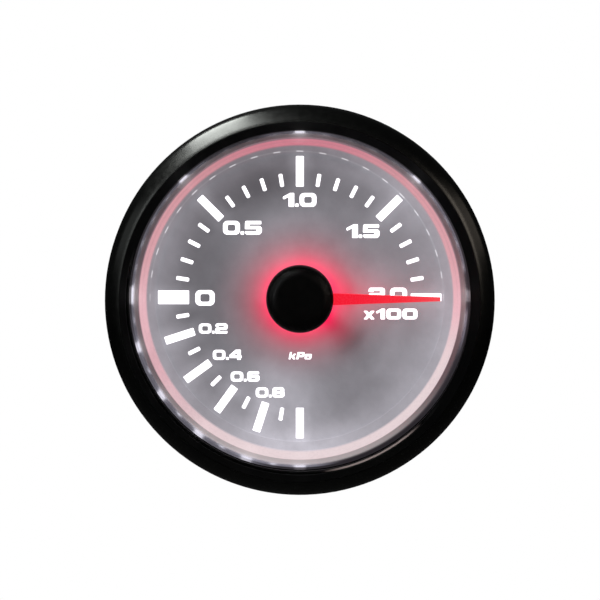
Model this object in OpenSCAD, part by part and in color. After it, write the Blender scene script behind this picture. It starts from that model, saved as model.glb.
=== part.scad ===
// Boost gauge for a 52 mm panel hole, driven by a geared stepper motor.
// The modules work in the face frame: x to the right and y up as the driver sees the dial, z out
// towards the driver. in_face_frame() turns it, so the dial faces -Y, 12 o'clock is +Z and the body
// runs back along +Y. z = 0 is the plane where the bezel meets the panel.

/* [Body] */
// Outside diameter of the body tube
body_d = 52; // [50:0.5:56]
// Room between the motor and the board at the back
rear_room = 5.5; // [4.5:0.5:13]
// Wall of the body tube
body_wall = 1.6; // [1.2:0.1:1.8]
// Wall left round the mouth of the tube, where the halo ring sits
mouth_wall = 0.8; // [0.7:0.1:1]
// Width of the ledge that carries the main board
ledge_w = 1.6; // [1.2:0.1:1.8]
// Thickness of the flange that the bezel is rolled over
flange_t = 1.8; // [1.4:0.1:2.4]

/* [Bezel] */
// How far the bezel stands out beyond the body tube
bezel_overhang = 4; // [3.6:0.1:5]
// Depth of the bezel in front of the panel, up to where its shoulder would close
bezel_h = 8.4; // [8:0.1:9.5]
// Wall of the bezel round the flange
bezel_wall = 1.5; // [1.2:0.1:1.8]
// Thickness of the rolled lip behind the flange
rolled_lip_t = 0.6; // [0.5:0.1:0.8]
// Radius of the rounded shoulder
shoulder_r = 3.2; // [2.8:0.1:3.4]
// Width of the bevel from the crest down to the lip over the lens
bevel_w = 1.4; // [1.2:0.1:1.8]
// Straight edge of the lip over the lens
lip_edge = 0.5; // [0.3:0.1:0.8]

/* [Lens and rings] */
// Thickness of the lens
lens_t = 1.8; // [1.5:0.1:2.2]
// Thickness of the seal between the lens and the bezel
seal_t = 0.4; // [0.3:0.1:0.6]
// Thickness of the trim ring's flange under the lens
trim_t = 0.6; // [0.5:0.1:0.9]
// Width of the polished slope of the trim ring
trim_w = 1.3; // [1:0.1:1.6]
// Angle through which that slope curves, steeper towards the lens
trim_curve = 17; // [8:1:26]
// Width of the frosted slope of the halo ring
halo_w = 1.2; // [0.9:0.1:1.4]
// Height of the halo ring above its step in the body
halo_h = 2.4; // [2:0.1:2.8]
// Width of the clear foot of the halo ring, on the dial
halo_foot_w = 1.4; // [1:0.1:1.6]
// Thickness of that foot
halo_foot_t = 0.4; // [0.3:0.1:0.6]

/* [Dial] */
// Thickness of the dial
dial_t = 0.5; // [0.4:0.1:0.8]
// Thickness of the clear sheet that spreads the light behind the dial
guide_t = 2; // [1.5:0.1:2.5]
// Radius of the hole in the middle of the dial
dial_hole_r = 4.2; // [3.9:0.1:4.8]
// Height of the white reflector
reflector_h = 5; // [4.5:0.1:6]
// Floor of the reflector
reflector_floor = 1; // [0.8:0.1:1.3]

/* [Pointer] */
// Reach of the pointer from the shaft to its tip
pointer_reach = 21.7; // [18:0.1:21.9]
// Width of the pointer where it leaves the cap
pointer_root_w = 1.8; // [1.4:0.1:3]
// Width of the pointer's blunt tip
pointer_tip_w = 0.6; // [0.5:0.1:1.4]
// Thickness of the pointer at its root
pointer_t = 1; // [0.8:0.1:1.2]
// Thickness of the pointer at its tip
pointer_tip_t = 0.6; // [0.5:0.1:0.8]
// Gap between the dial and the pointer
pointer_lift = 3.3; // [2.8:0.1:3.4]
// Radius of the cap over the pointer's hub
cap_r = 5.2; // [4.8:0.1:6.5]
// Height of the cap
cap_h = 2.4; // [2.2:0.1:2.6]
// Radius of the rounded edge of the cap
cap_edge_r = 0.5; // [0.3:0.1:0.8]
// Radius of the pointer's shaft
shaft_r = 0.75; // [0.6:0.05:0.8]

/* [Gears] */
// Gear module, which is pitch diameter over number of teeth
gear_module = 0.25; // [0.23:0.005:0.255]
// Teeth on the output wheel
output_teeth = 60; // [52:2:60]
// Teeth on the idler's wheel
idler_teeth = 48; // [40:2:48]
// Teeth on each pinion
pinion_teeth = 8; // [8:1:9]
// Thickness of the output wheel
output_wheel_t = 1; // [0.8:0.1:1.1]
// Thickness of the idler's wheel
idler_wheel_t = 0.8; // [0.6:0.1:0.9]
// Distance of the rotor straight below the pointer's shaft
rotor_drop = 12.5; // [12:0.1:13]
// Turn of the pointer between its two stops
pointer_sweep = 276; // [180:1:290]
// Turn left beyond the rest position, up to the upper stop
sweep_over = 3; // [1:0.5:8]

/* [Motor] */
// Depth of the motor's case
motor_h = 9.2; // [9.2:0.1:10.5]
// Gap between the idler's wheel and the side of the motor's case
motor_side_gap = 0.9; // [0.6:0.1:1.4]
// Distance from the shaft down to the lower end of the case
motor_drop = 19; // [18.6:0.1:19.2]
// Radius of the case round the output wheel
motor_head_r = 9; // [8.9:0.1:9.4]
// Walls of the case
motor_wall = 0.8; // [0.7:0.1:0.9]
// Front and back of the case
motor_plate = 1; // [0.8:0.1:1.1]
// Radius of the rotor magnet
magnet_r = 2.7; // [2.2:0.1:2.8]
// Radius of the wound coils
coil_r = 2; // [1.8:0.05:2.05]
// Thickness of the stator plate
stator_t = 1; // [0.8:0.1:1.2]

/* [Boards] */
// Thickness of both circuit boards
board_t = 1.6; // [1:0.1:1.6]
// Width of the board at the back
back_board_w = 26; // [25:0.5:27]
// Number of white lamps behind the dial
white_led_count = 12; // [6:1:14]
// Number of red lamps round the shaft
red_led_count = 3; // [3:1:4]
// Distance of the white lamps from the wall of the reflector
white_led_inset = 5.6; // [5.4:0.1:6.4]
// Pins in the link between the boards
link_pins_count = 6; // [4:1:6]

/* [Back] */
// Thickness of the back cover
cover_t = 2.4; // [2:0.1:3]
// Distance between the two mounting studs
stud_spacing = 34; // [33:0.5:35]
// Radius of the mounting studs
stud_r = 2; // [1.5:0.1:2.1]
// Length of the studs beyond the back cover
stud_reach = 12; // [8:0.5:20]
// Pitch of the pins in the sockets
pin_pitch = 2.5; // [2:0.1:2.6]
// Pins in the power socket
power_pins = 4; // [2:1:4]
// Pins in the sensor socket
sensor_pins = 3; // [2:1:4]
// Depth of the cavity of each socket
socket_cavity_h = 9; // [8.6:0.1:11]
// Height of the pins above the floor of the socket
socket_pin_h = 4.6; // [3:0.1:4.8]

/* [Hidden] */
$fn = 96;
overrun = 0.5;
// Clearances
fit_gap = 0.1;
bore_gap = 0.2;
press_gap = 0.01;
running_gap = 0.03;
end_play = 0.1;
window_gap = 0.25;
hole_gap = 0.05;
lens_gap = 0.3;

// Radii from the tube outwards and inwards
body_r = body_d / 2;
bore_r = body_r - body_wall;
ledge_r = bore_r - ledge_w;
insert_r = bore_r - bore_gap;
mouth_r = body_r - mouth_wall;
halo_r = mouth_r - fit_gap;
halo_land = 0.1;
halo_rim_r = halo_r - halo_land;
halo_inner_r = halo_rim_r - halo_w;
halo_foot_r = halo_inner_r - halo_foot_w;
lip_r = halo_rim_r + trim_w;
neck_w = 0.9;
neck_r = body_r + neck_w;
bezel_r = body_r + bezel_overhang;
bezel_bore_r = bezel_r - bezel_wall;
flange_r = bezel_bore_r - fit_gap;
lens_r = bezel_bore_r - lens_gap;
trim_foot_w = 0.5;
trim_foot_r = halo_rim_r + trim_foot_w;
trim_neck_r = lip_r + trim_foot_w - bore_gap;
pocket_foot_r = trim_foot_r + fit_gap;
pocket_top_r = trim_neck_r + fit_gap;
edge_break = 0.4;

// Planes from the panel towards the driver
rim_z = rolled_lip_t;
flange_z = rim_z + flange_t;
lens_back_z = flange_z + trim_t;
lens_front_z = lens_back_z + lens_t;
lip_back_z = lens_front_z + seal_t;
lip_front_z = lip_back_z + lip_edge;
shoulder_z = bezel_h - shoulder_r;
crest_r = lip_r + bevel_w;
crest_z = shoulder_z + sqrt(pow(shoulder_r, 2) - pow(max(crest_r - bezel_r + shoulder_r, 0), 2));
lens_chamfer = 0.3;

// Planes from the panel backwards
step_z = rim_z - halo_h;
dial_z = step_z - halo_foot_t;
dial_back_z = dial_z - dial_t;
guide_back_z = dial_back_z - guide_t;
board_z = guide_back_z - reflector_h;
board_back_z = board_z - board_t;
motor_back_z = board_back_z - motor_h;
ledge_t = 2;
seat_w = 1;
seat_t = 1.2;
back_post_h = 6;
back_board_front_z = motor_back_z - rear_room;
back_board_z = back_board_front_z - board_t;
cover_z = back_board_z - back_post_h;
rear_z = cover_z - cover_t;

// Key that stops the dial and the boards from turning in the tube
key_w = 2;
key_h = 0.9;

// Reflector: a white bowl with a tube in the middle that keeps the red light apart
bowl_top_wall = 0.8;
bowl_slope = 2.8;
pipe_gap = fit_gap;
pipe_r = dial_hole_r - bore_gap - pipe_gap;
pipe_bore_r = 1.7;
pipe_flange_w = 0.7;
pipe_flange_t = 0.9;
pipe_flange_r = pipe_r + pipe_flange_w;
pipe_post_r = 0.4 * pipe_flange_w;
pipe_lift = 0.7;
pipe_top_z = dial_z - pipe_gap;
pipe_flange_z = board_z + pipe_lift;
inner_tube_wall = 1;
post_r = 2.6;
board_screw_inset = 4.8;
board_screw_place_r = insert_r - board_screw_inset;
board_screw_count = 3;

// Small screws
screw_r = 1;
screw_head_r = 1.9;
screw_head_t = 1.2;
screw_slot_w = 0.5;
screw_slot_depth = 0.5;
board_screw_len = 4.6;

// Lamps
white_led_size = [2.8, 3.5, 1.3];
red_led_size = [0.8, 1.6, 0.5];
red_led_place_r = (pipe_bore_r + pipe_flange_r) / 2;
white_led_place_r = insert_r - bowl_top_wall - bowl_slope - white_led_inset;

// Pointer, cap and bush
pointer_z = dial_z + pointer_lift;
pointer_top_z = pointer_z + pointer_t;
cap_top_z = pointer_top_z + 0.5 * pointer_t;
cap_z = cap_top_z - cap_h;
cap_skin = 0.4;
hub_r = cap_r - 1.1 * cap_skin - cap_edge_r;
hub_foot_r = dial_hole_r - 1.4;
hub_foot_h = 1.1;
bush_r = 1.3;
bush_lift = 0.5;

// Gear train: planes of the two layers, and the places of the idler and the rotor
case_front_z = board_back_z;
inner_front_z = case_front_z - motor_plate;
inner_back_z = motor_back_z + motor_plate;
wheel_gap = 0.7;
layer_gap = 0.3;
output_wheel_z = inner_front_z - wheel_gap - output_wheel_t;
idler_wheel_top_z = output_wheel_z - layer_gap;
idler_wheel_z = idler_wheel_top_z - idler_wheel_t;
pinion_margin = 0.1;
stage_1 = gear_module * (output_teeth + pinion_teeth) / 2;
stage_2 = gear_module * (idler_teeth + pinion_teeth) / 2;
idler_y = -(pow(stage_1, 2) - pow(stage_2, 2) + pow(rotor_drop, 2)) / (2 * rotor_drop);
idler_x = sqrt(pow(stage_1, 2) - pow(idler_y, 2));
idler_place = [idler_x, idler_y];
idler_tip_r = gear_module * (idler_teeth / 2 + 1);
motor_w = 2 * (idler_x + idler_tip_r + motor_side_gap + motor_wall);
rotor_place = [0, -rotor_drop];

// Outline of one tooth in modules, as height above the pitch circle and offset from the middle line
wheel_tooth_shares = [[-1.25, -0.95], [0, -0.62], [0.95, -0.2], [0.95, 0.2], [0, 0.62], [-1.25, 0.95]];
pinion_tooth_shares = [[-1.25, -0.5], [0, -0.62], [0.85, -0.25], [0.85, 0.25], [0, 0.62], [-1.25, 0.5]];

// Phases that put a tooth of one gear into a gap of the next
function meshing_phase(own_phase, own_teeth, next_teeth, heading) =
    heading + 180 - (360 / next_teeth) * (1 / 2 - (heading - own_phase) * own_teeth / 360);
idler_heading = atan2(idler_y, idler_x);
rotor_heading = atan2(rotor_place[1] - idler_y, rotor_place[0] - idler_x);
idler_phase = meshing_phase(0, output_teeth, pinion_teeth, idler_heading);
rotor_phase = meshing_phase(idler_phase, idler_teeth, pinion_teeth, rotor_heading);

// Shafts, bearings and stops of the motor
pivot_r = 0.4;
pivot_depth = 0.6 * motor_plate;
boss_wall = 0.85;
shaft_boss_r = shaft_r + running_gap + boss_wall;
shaft_boss_reach = board_t + 0.4 * motor_plate;
wheel_hub_r = 1.9;
wheel_hub_over = 0.55;
idler_hub_r = 1.1;
idler_hub_over = 0.15;
stop_r = 5.6;
stop_w = 1.2;
stop_t = 0.5;
stop_tab_angle = 12;
stop_slack = 0.5;
window_count = 5;
window_r = 1.15;
window_place_r = 3.9;

// Stator and coils
coil_z = inner_back_z + coil_r + end_play;
stator_ring_r = magnet_r + 1.9;
air_gap = 0.3;
leg_w = 2;
coil_room = 1;
leg_x = motor_w / 2 - motor_wall - coil_r - coil_room;
yoke_y = -4;
arm_top_y = -(rotor_drop - leg_w / 2);
neck_slot_w = 0.5;
bobbin_flange_t = 0.6;
bobbin_r = 1.45;
bobbin_flange_r = coil_r + 0.6 * end_play;
coil_top_y = yoke_y - leg_w / 2 - end_play;
coil_bottom_y = arm_top_y + end_play;
magnet_h = 3.2;
magnet_z = coil_z - magnet_h / 2;
case_corner_r = 4;
case_lip = 0.5;
case_lip_t = 0.5;
case_shoulder_y = idler_y + idler_tip_r + motor_wall + case_lip_t + 2 * fit_gap;
case_split_z = idler_wheel_z - layer_gap;
peg_r = 0.75;
peg_h = 1.2;
peg_places = [[-motor_w / 2 + 2.6, -motor_drop + 3.6], [motor_w / 2 - 2.6, -motor_drop + 3.6]];
terminal_r = 0.3;
terminal_boss_r = 0.8;
terminal_boss_h = 2.2;
terminal_reach = 0.4;
terminal_tail = 1.4;
terminal_row = 2.4;
terminal_places = [for (side = [-1, 1], k = [0, 1])
    [side * (motor_w / 4 - terminal_row / 2 + k * terminal_row), -motor_drop + 2.2]];

// Board at the back and the link between the boards
back_board_corner = 2;
back_screw_inset = 2.4;
back_post_r = 2;
link_pitch = 2;
link_w = 2.4;
link_len = (link_pins_count + 1 / 4) * link_pitch;
link_pin_w = 0.5;
link_socket_h = 7;
link_base_h = 1.5;
link_overlap = 5;
link_tail = 0.8;
link_y = motor_head_r + 0.6 + link_w / 2;
back_board_h = 2 * (link_y + link_w / 2) + 0.8;
back_screw_x = back_board_w / 2 - back_screw_inset;
back_screw_y = back_board_h / 2 - back_screw_inset;

// Sockets
socket_wall = 0.85;
socket_floor = 1.4;
socket_cavity_w = 4.9;
socket_side = 1.75;
socket_pin_w = 0.64;
socket_pin_tail = 1;
socket_rear_z = back_board_z - socket_floor - socket_cavity_h;
notch_w = 1.8;
notch_h = 3;
power_y = -6.2;
sensor_y = 3.4;

// Parts on the main board
chip_size = [6, 6, 1.1];
chip_inset = 6.6;
chip_place = [chip_inset - insert_r, chip_size[0] / 4];
lead_count = 7;
lead_size = [0.3, 0.9, 0.3];
lead_pitch = 0.75;
capacitor_r = 2.4;
capacitor_h = 5.4;
capacitor_base = [5.2, 5.2, 0.8];
capacitor_inset = 6.8;
capacitor_pitch = 5.8;
capacitor_places = [for (side = [-1, 1])
    [insert_r - capacitor_inset, (side + 1 / 2) * capacitor_pitch / 2]];

// Back cover
cover_screw_place_r = bore_r - 2.6;
cover_boss_r = 2.7;
cover_boss_len = 7;
cover_screw_len = 6;
cover_recess = 0.9;
stud_shank_w = 0.5;
stud_shank_r = stud_r + stud_shank_w;
stud_head_r = 3.4;
stud_head_t = 1;
cover_rib_t = 0.8;
cover_rib_h = 1.5;
stud_tip_chamfer = 0.4;

// General shapes

module in_face_frame() {
    rotate([90, 0, 0]) children();
}

// A flat outline given thickness from one plane to another
module slab(z_low, z_high) {
    translate([0, 0, z_low]) linear_extrude(z_high - z_low) children();
}

module rod(r, z_low, z_high) {
    translate([0, 0, z_low]) cylinder(r = r, h = z_high - z_low);
}

module tube(r_out, r_in, z_low, z_high) {
    slab(z_low, z_high) difference() {
        circle(r_out);
        circle(r_in);
    }
}

module around(count, place_r, start) {
    for (i = [0 : count - 1])
        rotate(start + i * 360 / count) translate([place_r, 0, 0]) children();
}

module at_board_screws() {
    around(board_screw_count, board_screw_place_r, 90) children();
}

module at_cover_screws() {
    around(board_screw_count, cover_screw_place_r, 90) children();
}

module at_studs() {
    for (side = [-1, 1]) translate([side * stud_spacing / 2, 0, 0]) children();
}

module at_back_board_screws() {
    for (x = [-1, 1], y = [-1, 1]) translate([x * back_screw_x, y * back_screw_y, 0]) children();
}

module rounded_rectangle(w, h, r) {
    square([w - 2 * r, h], center = true);
    square([w, h - 2 * r], center = true);
    for (x = [-1, 1], y = [-1, 1]) translate([x * (w / 2 - r), y * (h / 2 - r)]) circle(r);
}

// A disc with the notch that slides over the key in the tube
module keyed_disc(r) {
    notch_x = key_w / 2 + fit_gap;
    difference() {
        circle(r);
        translate([-notch_x, -r - overrun])
            square([2 * notch_x, overrun + r - bore_r + key_h + fit_gap]);
    }
}

// A pan-head screw whose head sits on z = 0 and whose shank runs towards +z
module pan_screw(shank_len) {
    difference() {
        union() {
            rod(screw_r, -screw_head_t / 2, shank_len);
            rod(screw_head_r, -screw_head_t, 0);
        }
        for (a = [0, 90]) rotate(a)
            translate([-screw_head_r * 0.65, -screw_slot_w / 2, -screw_head_t - screw_slot_depth])
                cube([screw_head_r * 1.3, screw_slot_w, 2 * screw_slot_depth]);
    }
}

// Case

module bezel_section() {
    difference() {
        union() {
            translate([neck_r + fit_gap, edge_break])
                square([bezel_r - neck_r - fit_gap, shoulder_z - edge_break]);
            translate([neck_r + fit_gap, 0])
                square([bezel_r - neck_r - fit_gap - edge_break, shoulder_z]);
            translate([bezel_r - edge_break, edge_break]) circle(edge_break);
            translate([lip_r, lip_back_z])
                square([bezel_r - shoulder_r - lip_r, max(bezel_h - lip_back_z, 0)]);
            intersection() {
                translate([bezel_r - shoulder_r, shoulder_z]) circle(shoulder_r);
                translate([lip_r, min(lip_back_z, shoulder_z)])
                    square([bezel_r - lip_r, bezel_h]);
            }
        }
        // bore over the flange and the lens
        translate([0, rim_z]) square([bezel_bore_r, lip_back_z - rim_z]);
        // bevel from the crest down to the lip
        polygon([
            [0, lip_front_z], [lip_r, lip_front_z], [crest_r, crest_z],
            [crest_r, bezel_h + overrun], [0, bezel_h + overrun]]);
    }
}

module bezel() {
    color([0.05, 0.05, 0.055]) in_face_frame() rotate_extrude() bezel_section();
}

module lens_seal() {
    color([0.03, 0.03, 0.03]) in_face_frame()
        tube(lens_r, lip_r + fit_gap, lens_front_z, lip_back_z);
}

module lens() {
    color([0.6, 0.6, 0.65, 0.3]) in_face_frame() rotate_extrude() polygon([
        [0, lens_back_z], [lens_r - lens_chamfer, lens_back_z],
        [lens_r, lens_back_z + lens_chamfer], [lens_r, lens_front_z - lens_chamfer],
        [lens_r - lens_chamfer, lens_front_z], [0, lens_front_z]]);
}

module trim_ring() {
    // the slope is part of a circle whose middle lies in front of the dial
    slope = [lip_r - halo_rim_r, lens_back_z - rim_z];
    chord = norm(slope);
    hollow_r = chord / 2 / sin(trim_curve / 2);
    reach = hollow_r * cos(trim_curve / 2) / chord;
    color([0.12, 0.12, 0.13]) in_face_frame() rotate_extrude() difference() {
        polygon([
            [halo_rim_r, rim_z], [trim_foot_r, rim_z], [trim_neck_r, flange_z],
            [lens_r, flange_z], [lens_r, lens_back_z], [lip_r, lens_back_z]]);
        translate([halo_rim_r + slope[0] / 2 - slope[1] * reach,
            rim_z + slope[1] / 2 + slope[0] * reach]) circle(hollow_r);
    }
}

module halo_ring() {
    color([0.95, 0.7, 0.72]) in_face_frame() rotate_extrude() polygon([
        [halo_foot_r, dial_z], [insert_r, dial_z], [insert_r, step_z], [halo_r, step_z],
        [halo_r, rim_z], [halo_rim_r, rim_z], [halo_inner_r, step_z + bore_gap],
        [halo_inner_r, step_z], [halo_foot_r, step_z]]);
}

module body_section() {
    polygon([
        [body_r, 0], [neck_r, 0], [neck_r, rim_z], [flange_r, rim_z], [flange_r, flange_z],
        [pocket_top_r, flange_z], [pocket_foot_r, rim_z], [mouth_r, rim_z], [mouth_r, step_z],
        [bore_r, step_z], [bore_r, board_back_z], [ledge_r, board_back_z],
        [ledge_r, board_back_z - ledge_t], [bore_r, board_back_z - ledge_t - ledge_w],
        [bore_r, cover_z + seat_t + seat_w], [bore_r - seat_w, cover_z + seat_t],
        [bore_r - seat_w, cover_z], [bore_r, cover_z], [bore_r, rear_z],
        [body_r - edge_break, rear_z], [body_r, rear_z + edge_break]]);
}

module body_shell() {
    color([0.08, 0.08, 0.085]) in_face_frame() difference() {
        union() {
            rotate_extrude() body_section();
            // key for the dial and the boards
            intersection() {
                slab(board_back_z - ledge_t / 2, dial_z)
                    translate([-key_w / 2, -bore_r - body_wall / 2])
                        square([key_w, body_wall / 2 + key_h]);
                rod(body_r - body_wall / 2, board_back_z - ledge_t, rim_z);
            }
            // bosses for the cover's screws
            intersection() {
                at_cover_screws() rod(cover_boss_r, cover_z, cover_z + cover_boss_len);
                rod(body_r - body_wall / 2, cover_z - overrun, cover_z + cover_boss_len + overrun);
            }
        }
        at_cover_screws() rod(screw_r + hole_gap, cover_z - overrun, cover_z + cover_screw_len);
    }
}

// Dial and lighting

module dial_face() {
    color([0.3, 0.29, 0.31]) in_face_frame() slab(dial_back_z, dial_z) difference() {
        keyed_disc(insert_r);
        circle(dial_hole_r);
    }
}

module light_guide() {
    color([0.9, 0.93, 0.95, 0.5]) in_face_frame() slab(guide_back_z, dial_back_z) difference() {
        keyed_disc(insert_r);
        circle(dial_hole_r);
    }
}

module led_windows() {
    around(white_led_count, white_led_place_r, 360 / white_led_count / 2)
        square([white_led_size[0] + 2 * window_gap, white_led_size[1] + 2 * window_gap], center = true);
}

module reflector() {
    floor_z = board_z + reflector_floor;
    inner_tube_r = dial_hole_r - bore_gap + inner_tube_wall;
    shelf_z = pipe_flange_z + pipe_flange_t;
    color([0.95, 0.95, 0.94]) in_face_frame() difference() {
        union() {
            intersection() {
                rotate_extrude() polygon([
                    [0, board_z], [insert_r, board_z], [insert_r, guide_back_z],
                    [insert_r - bowl_top_wall, guide_back_z],
                    [insert_r - bowl_top_wall - bowl_slope, floor_z], [0, floor_z]]);
                slab(board_z - overrun, guide_back_z + overrun) keyed_disc(insert_r + overrun);
            }
            rod(inner_tube_r, board_z, guide_back_z);
            at_board_screws() rod(post_r, board_z, guide_back_z - 1.5 * reflector_floor);
        }
        slab(board_z - overrun, floor_z + overrun) led_windows();
        // room for the soldered ends of the motor's terminals
        for (p = terminal_places) translate(p)
            rod(terminal_boss_r, board_z - overrun, board_z + terminal_reach + fit_gap);
        rod(dial_hole_r - bore_gap, board_z - overrun, guide_back_z + overrun);
        rod(pipe_flange_r + pipe_gap, board_z - overrun, shelf_z);
        at_board_screws() rod(screw_r + hole_gap, board_z - overrun,
            board_back_z + board_screw_len + fit_gap);
    }
}

module pointer_light_pipe() {
    color([1, 0.75, 0.75, 0.6]) in_face_frame() difference() {
        union() {
            rod(pipe_r, pipe_flange_z, pipe_top_z);
            rod(pipe_flange_r, pipe_flange_z, pipe_flange_z + pipe_flange_t);
            around(red_led_count, (pipe_r + pipe_flange_r) / 2, 180 / red_led_count)
                rod(pipe_post_r, board_z, pipe_flange_z + pipe_flange_t / 2);
        }
        rod(pipe_bore_r, pipe_flange_z - overrun, pipe_top_z + overrun);
    }
}

// Pointer

module pointer_outline() {
    circle(hub_r);
    polygon([
        [0, -pointer_root_w / 2], [cap_r, -pointer_root_w / 2],
        [pointer_reach, -pointer_tip_w / 2], [pointer_reach, pointer_tip_w / 2],
        [cap_r, pointer_root_w / 2], [0, pointer_root_w / 2]]);
}

module pointer_blade() {
    color([1, 0.12, 0.18]) in_face_frame() difference() {
        union() {
            intersection() {
                slab(pointer_z, pointer_top_z) pointer_outline();
                // the blade gets thinner towards its tip
                rotate([90, 0, 0]) translate([0, 0, -hub_r - overrun])
                    linear_extrude(2 * (hub_r + overrun)) polygon([
                        [-hub_r - overrun, pointer_z], [cap_r, pointer_z],
                        [pointer_reach, pointer_top_z - pointer_tip_t],
                        [pointer_reach, pointer_top_z], [-hub_r - overrun, pointer_top_z]]);
            }
            rod(hub_foot_r, pointer_z - hub_foot_h, pointer_z + pointer_t / 2);
        }
        rod(bush_r + press_gap, pointer_z - hub_foot_h - overrun, pointer_top_z + overrun);
    }
}

module pointer_cap() {
    slot_w = pointer_root_w + 2 * hole_gap;
    color([0.03, 0.03, 0.03]) in_face_frame() difference() {
        rotate_extrude() {
            translate([0, cap_z]) square([cap_r, cap_h - cap_edge_r]);
            translate([0, cap_z]) square([cap_r - cap_edge_r, cap_h]);
            translate([cap_r - cap_edge_r, cap_top_z - cap_edge_r]) circle(cap_edge_r);
        }
        rod(hub_r + hole_gap, cap_z - overrun, pointer_top_z);
        slab(cap_z - overrun, pointer_top_z) translate([0, -slot_w / 2]) square([2 * cap_r, slot_w]);
    }
}

module pointer_bush() {
    color([0.8, 0.65, 0.3]) in_face_frame()
        tube(bush_r, shaft_r + press_gap, pointer_z - hub_foot_h - bush_lift, pointer_top_z);
}

module pointer_shaft() {
    color([0.75, 0.75, 0.78]) in_face_frame()
        rod(shaft_r, inner_back_z + end_play, pointer_top_z - end_play);
}

// Gears

function turned(p, a) = [p[0] * cos(a) - p[1] * sin(a), p[0] * sin(a) + p[1] * cos(a)];

// Outline of a gear: each pair of shares is height above the pitch circle and offset, in modules
function gear_outline(teeth, shares) = [
    for (i = [0 : teeth - 1], s = shares)
        turned([gear_module * (teeth / 2 + s[0]), gear_module * s[1]], i * 360 / teeth)];

module gear(teeth, shares, phase, z_low, z_high) {
    slab(z_low, z_high) rotate(phase) polygon(gear_outline(teeth, shares));
}

// A piece of a ring between two angles, for the stop and its tab
module ring_piece(r_out, r_in, from_angle, to_angle) {
    steps = max(2, ceil((to_angle - from_angle) / 8));
    angles = [for (i = [0 : steps]) from_angle + i * (to_angle - from_angle) / steps];
    polygon(concat(
        [for (a = angles) [r_out * cos(a), r_out * sin(a)]],
        [for (i = [0 : steps]) [r_in * cos(angles[steps - i]), r_in * sin(angles[steps - i])]]));
}

module output_wheel() {
    top_z = output_wheel_z + output_wheel_t;
    color([0.92, 0.9, 0.84]) in_face_frame() difference() {
        union() {
            gear(output_teeth, wheel_tooth_shares, 0, output_wheel_z, top_z);
            rod(wheel_hub_r, output_wheel_z - end_play, top_z + wheel_hub_over);
            // tab that meets the stop in the case
            slab(top_z - overrun, top_z + stop_t)
                ring_piece(stop_r, stop_r - stop_w, -stop_tab_angle / 2, stop_tab_angle / 2);
        }
        rod(shaft_r + press_gap, output_wheel_z - overrun, top_z + wheel_hub_over + overrun);
        around(window_count, window_place_r, 180 / window_count)
            rod(window_r, output_wheel_z - overrun, top_z + overrun);
    }
}

module idler_gear() {
    color([0.88, 0.86, 0.8]) in_face_frame() translate(idler_place) difference() {
        union() {
            gear(idler_teeth, wheel_tooth_shares, idler_phase, idler_wheel_z, idler_wheel_top_z);
            gear(pinion_teeth, pinion_tooth_shares, idler_phase,
                idler_wheel_top_z - pinion_margin, output_wheel_z + output_wheel_t + pinion_margin);
            rod(idler_hub_r, idler_wheel_z - idler_hub_over, idler_wheel_z + idler_wheel_t / 2);
        }
        rod(pivot_r + running_gap, idler_wheel_z - idler_hub_over - overrun,
            output_wheel_z + output_wheel_t + pinion_margin + overrun);
    }
}

module idler_pin() {
    color([0.75, 0.75, 0.78]) in_face_frame() translate(idler_place)
        rod(pivot_r, inner_back_z - pivot_depth, inner_front_z + pivot_depth);
}

module rotor_pinion() {
    color([0.9, 0.88, 0.82]) in_face_frame() translate(rotor_place) {
        gear(pinion_teeth, pinion_tooth_shares, rotor_phase,
            idler_wheel_z - pinion_margin, idler_wheel_top_z + pinion_margin);
        rod(pivot_r, inner_back_z - pivot_depth + end_play, inner_front_z + pivot_depth - end_play);
    }
}

module rotor_magnet() {
    color([0.25, 0.25, 0.28]) in_face_frame() translate(rotor_place)
        tube(magnet_r, pivot_r + press_gap, magnet_z, magnet_z + magnet_h);
}

// Motor

module case_outline(inset) {
    circle(motor_head_r - inset);
    flat_h = motor_drop + case_shoulder_y;
    translate([0, case_shoulder_y - flat_h / 2])
        rounded_rectangle(motor_w - 2 * inset, flat_h - 2 * inset, case_corner_r - inset);
}

module motor_case_front() {
    hole_depth = inner_front_z + pivot_depth;
    arc = 360 - pointer_sweep - stop_tab_angle - 2 * stop_slack;
    arc_end = -(stop_tab_angle / 2 + sweep_over + stop_slack);
    color([0.15, 0.15, 0.16]) in_face_frame() difference() {
        union() {
            difference() {
                slab(case_split_z, case_front_z) case_outline(0);
                slab(case_split_z - overrun, inner_front_z) case_outline(motor_wall);
            }
            rod(shaft_boss_r, inner_front_z, case_front_z + shaft_boss_reach);
            // stop for the tab on the output wheel
            slab(inner_front_z - stop_t, inner_front_z + overrun)
                ring_piece(stop_r, stop_r - stop_w, arc_end - arc, arc_end);
            translate(idler_place)
                rod(2 * pivot_r, inner_front_z - wheel_gap + pinion_margin + end_play, case_front_z);
            for (p = peg_places) translate(p)
                rod(peg_r, inner_front_z, case_front_z + peg_h);
            for (p = terminal_places) translate(p)
                rod(terminal_boss_r, inner_front_z - terminal_boss_h, case_front_z);
        }
        rod(shaft_r + running_gap, inner_front_z - overrun, case_front_z + shaft_boss_reach + overrun);
        translate(rotor_place) rod(pivot_r + running_gap, inner_front_z - overrun, hole_depth);
        translate(idler_place) rod(pivot_r + press_gap, inner_front_z - wheel_gap, hole_depth);
        for (p = terminal_places) translate(p)
            rod(terminal_r + press_gap, inner_front_z - terminal_boss_h - overrun,
                case_front_z + overrun);
    }
}

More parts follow.
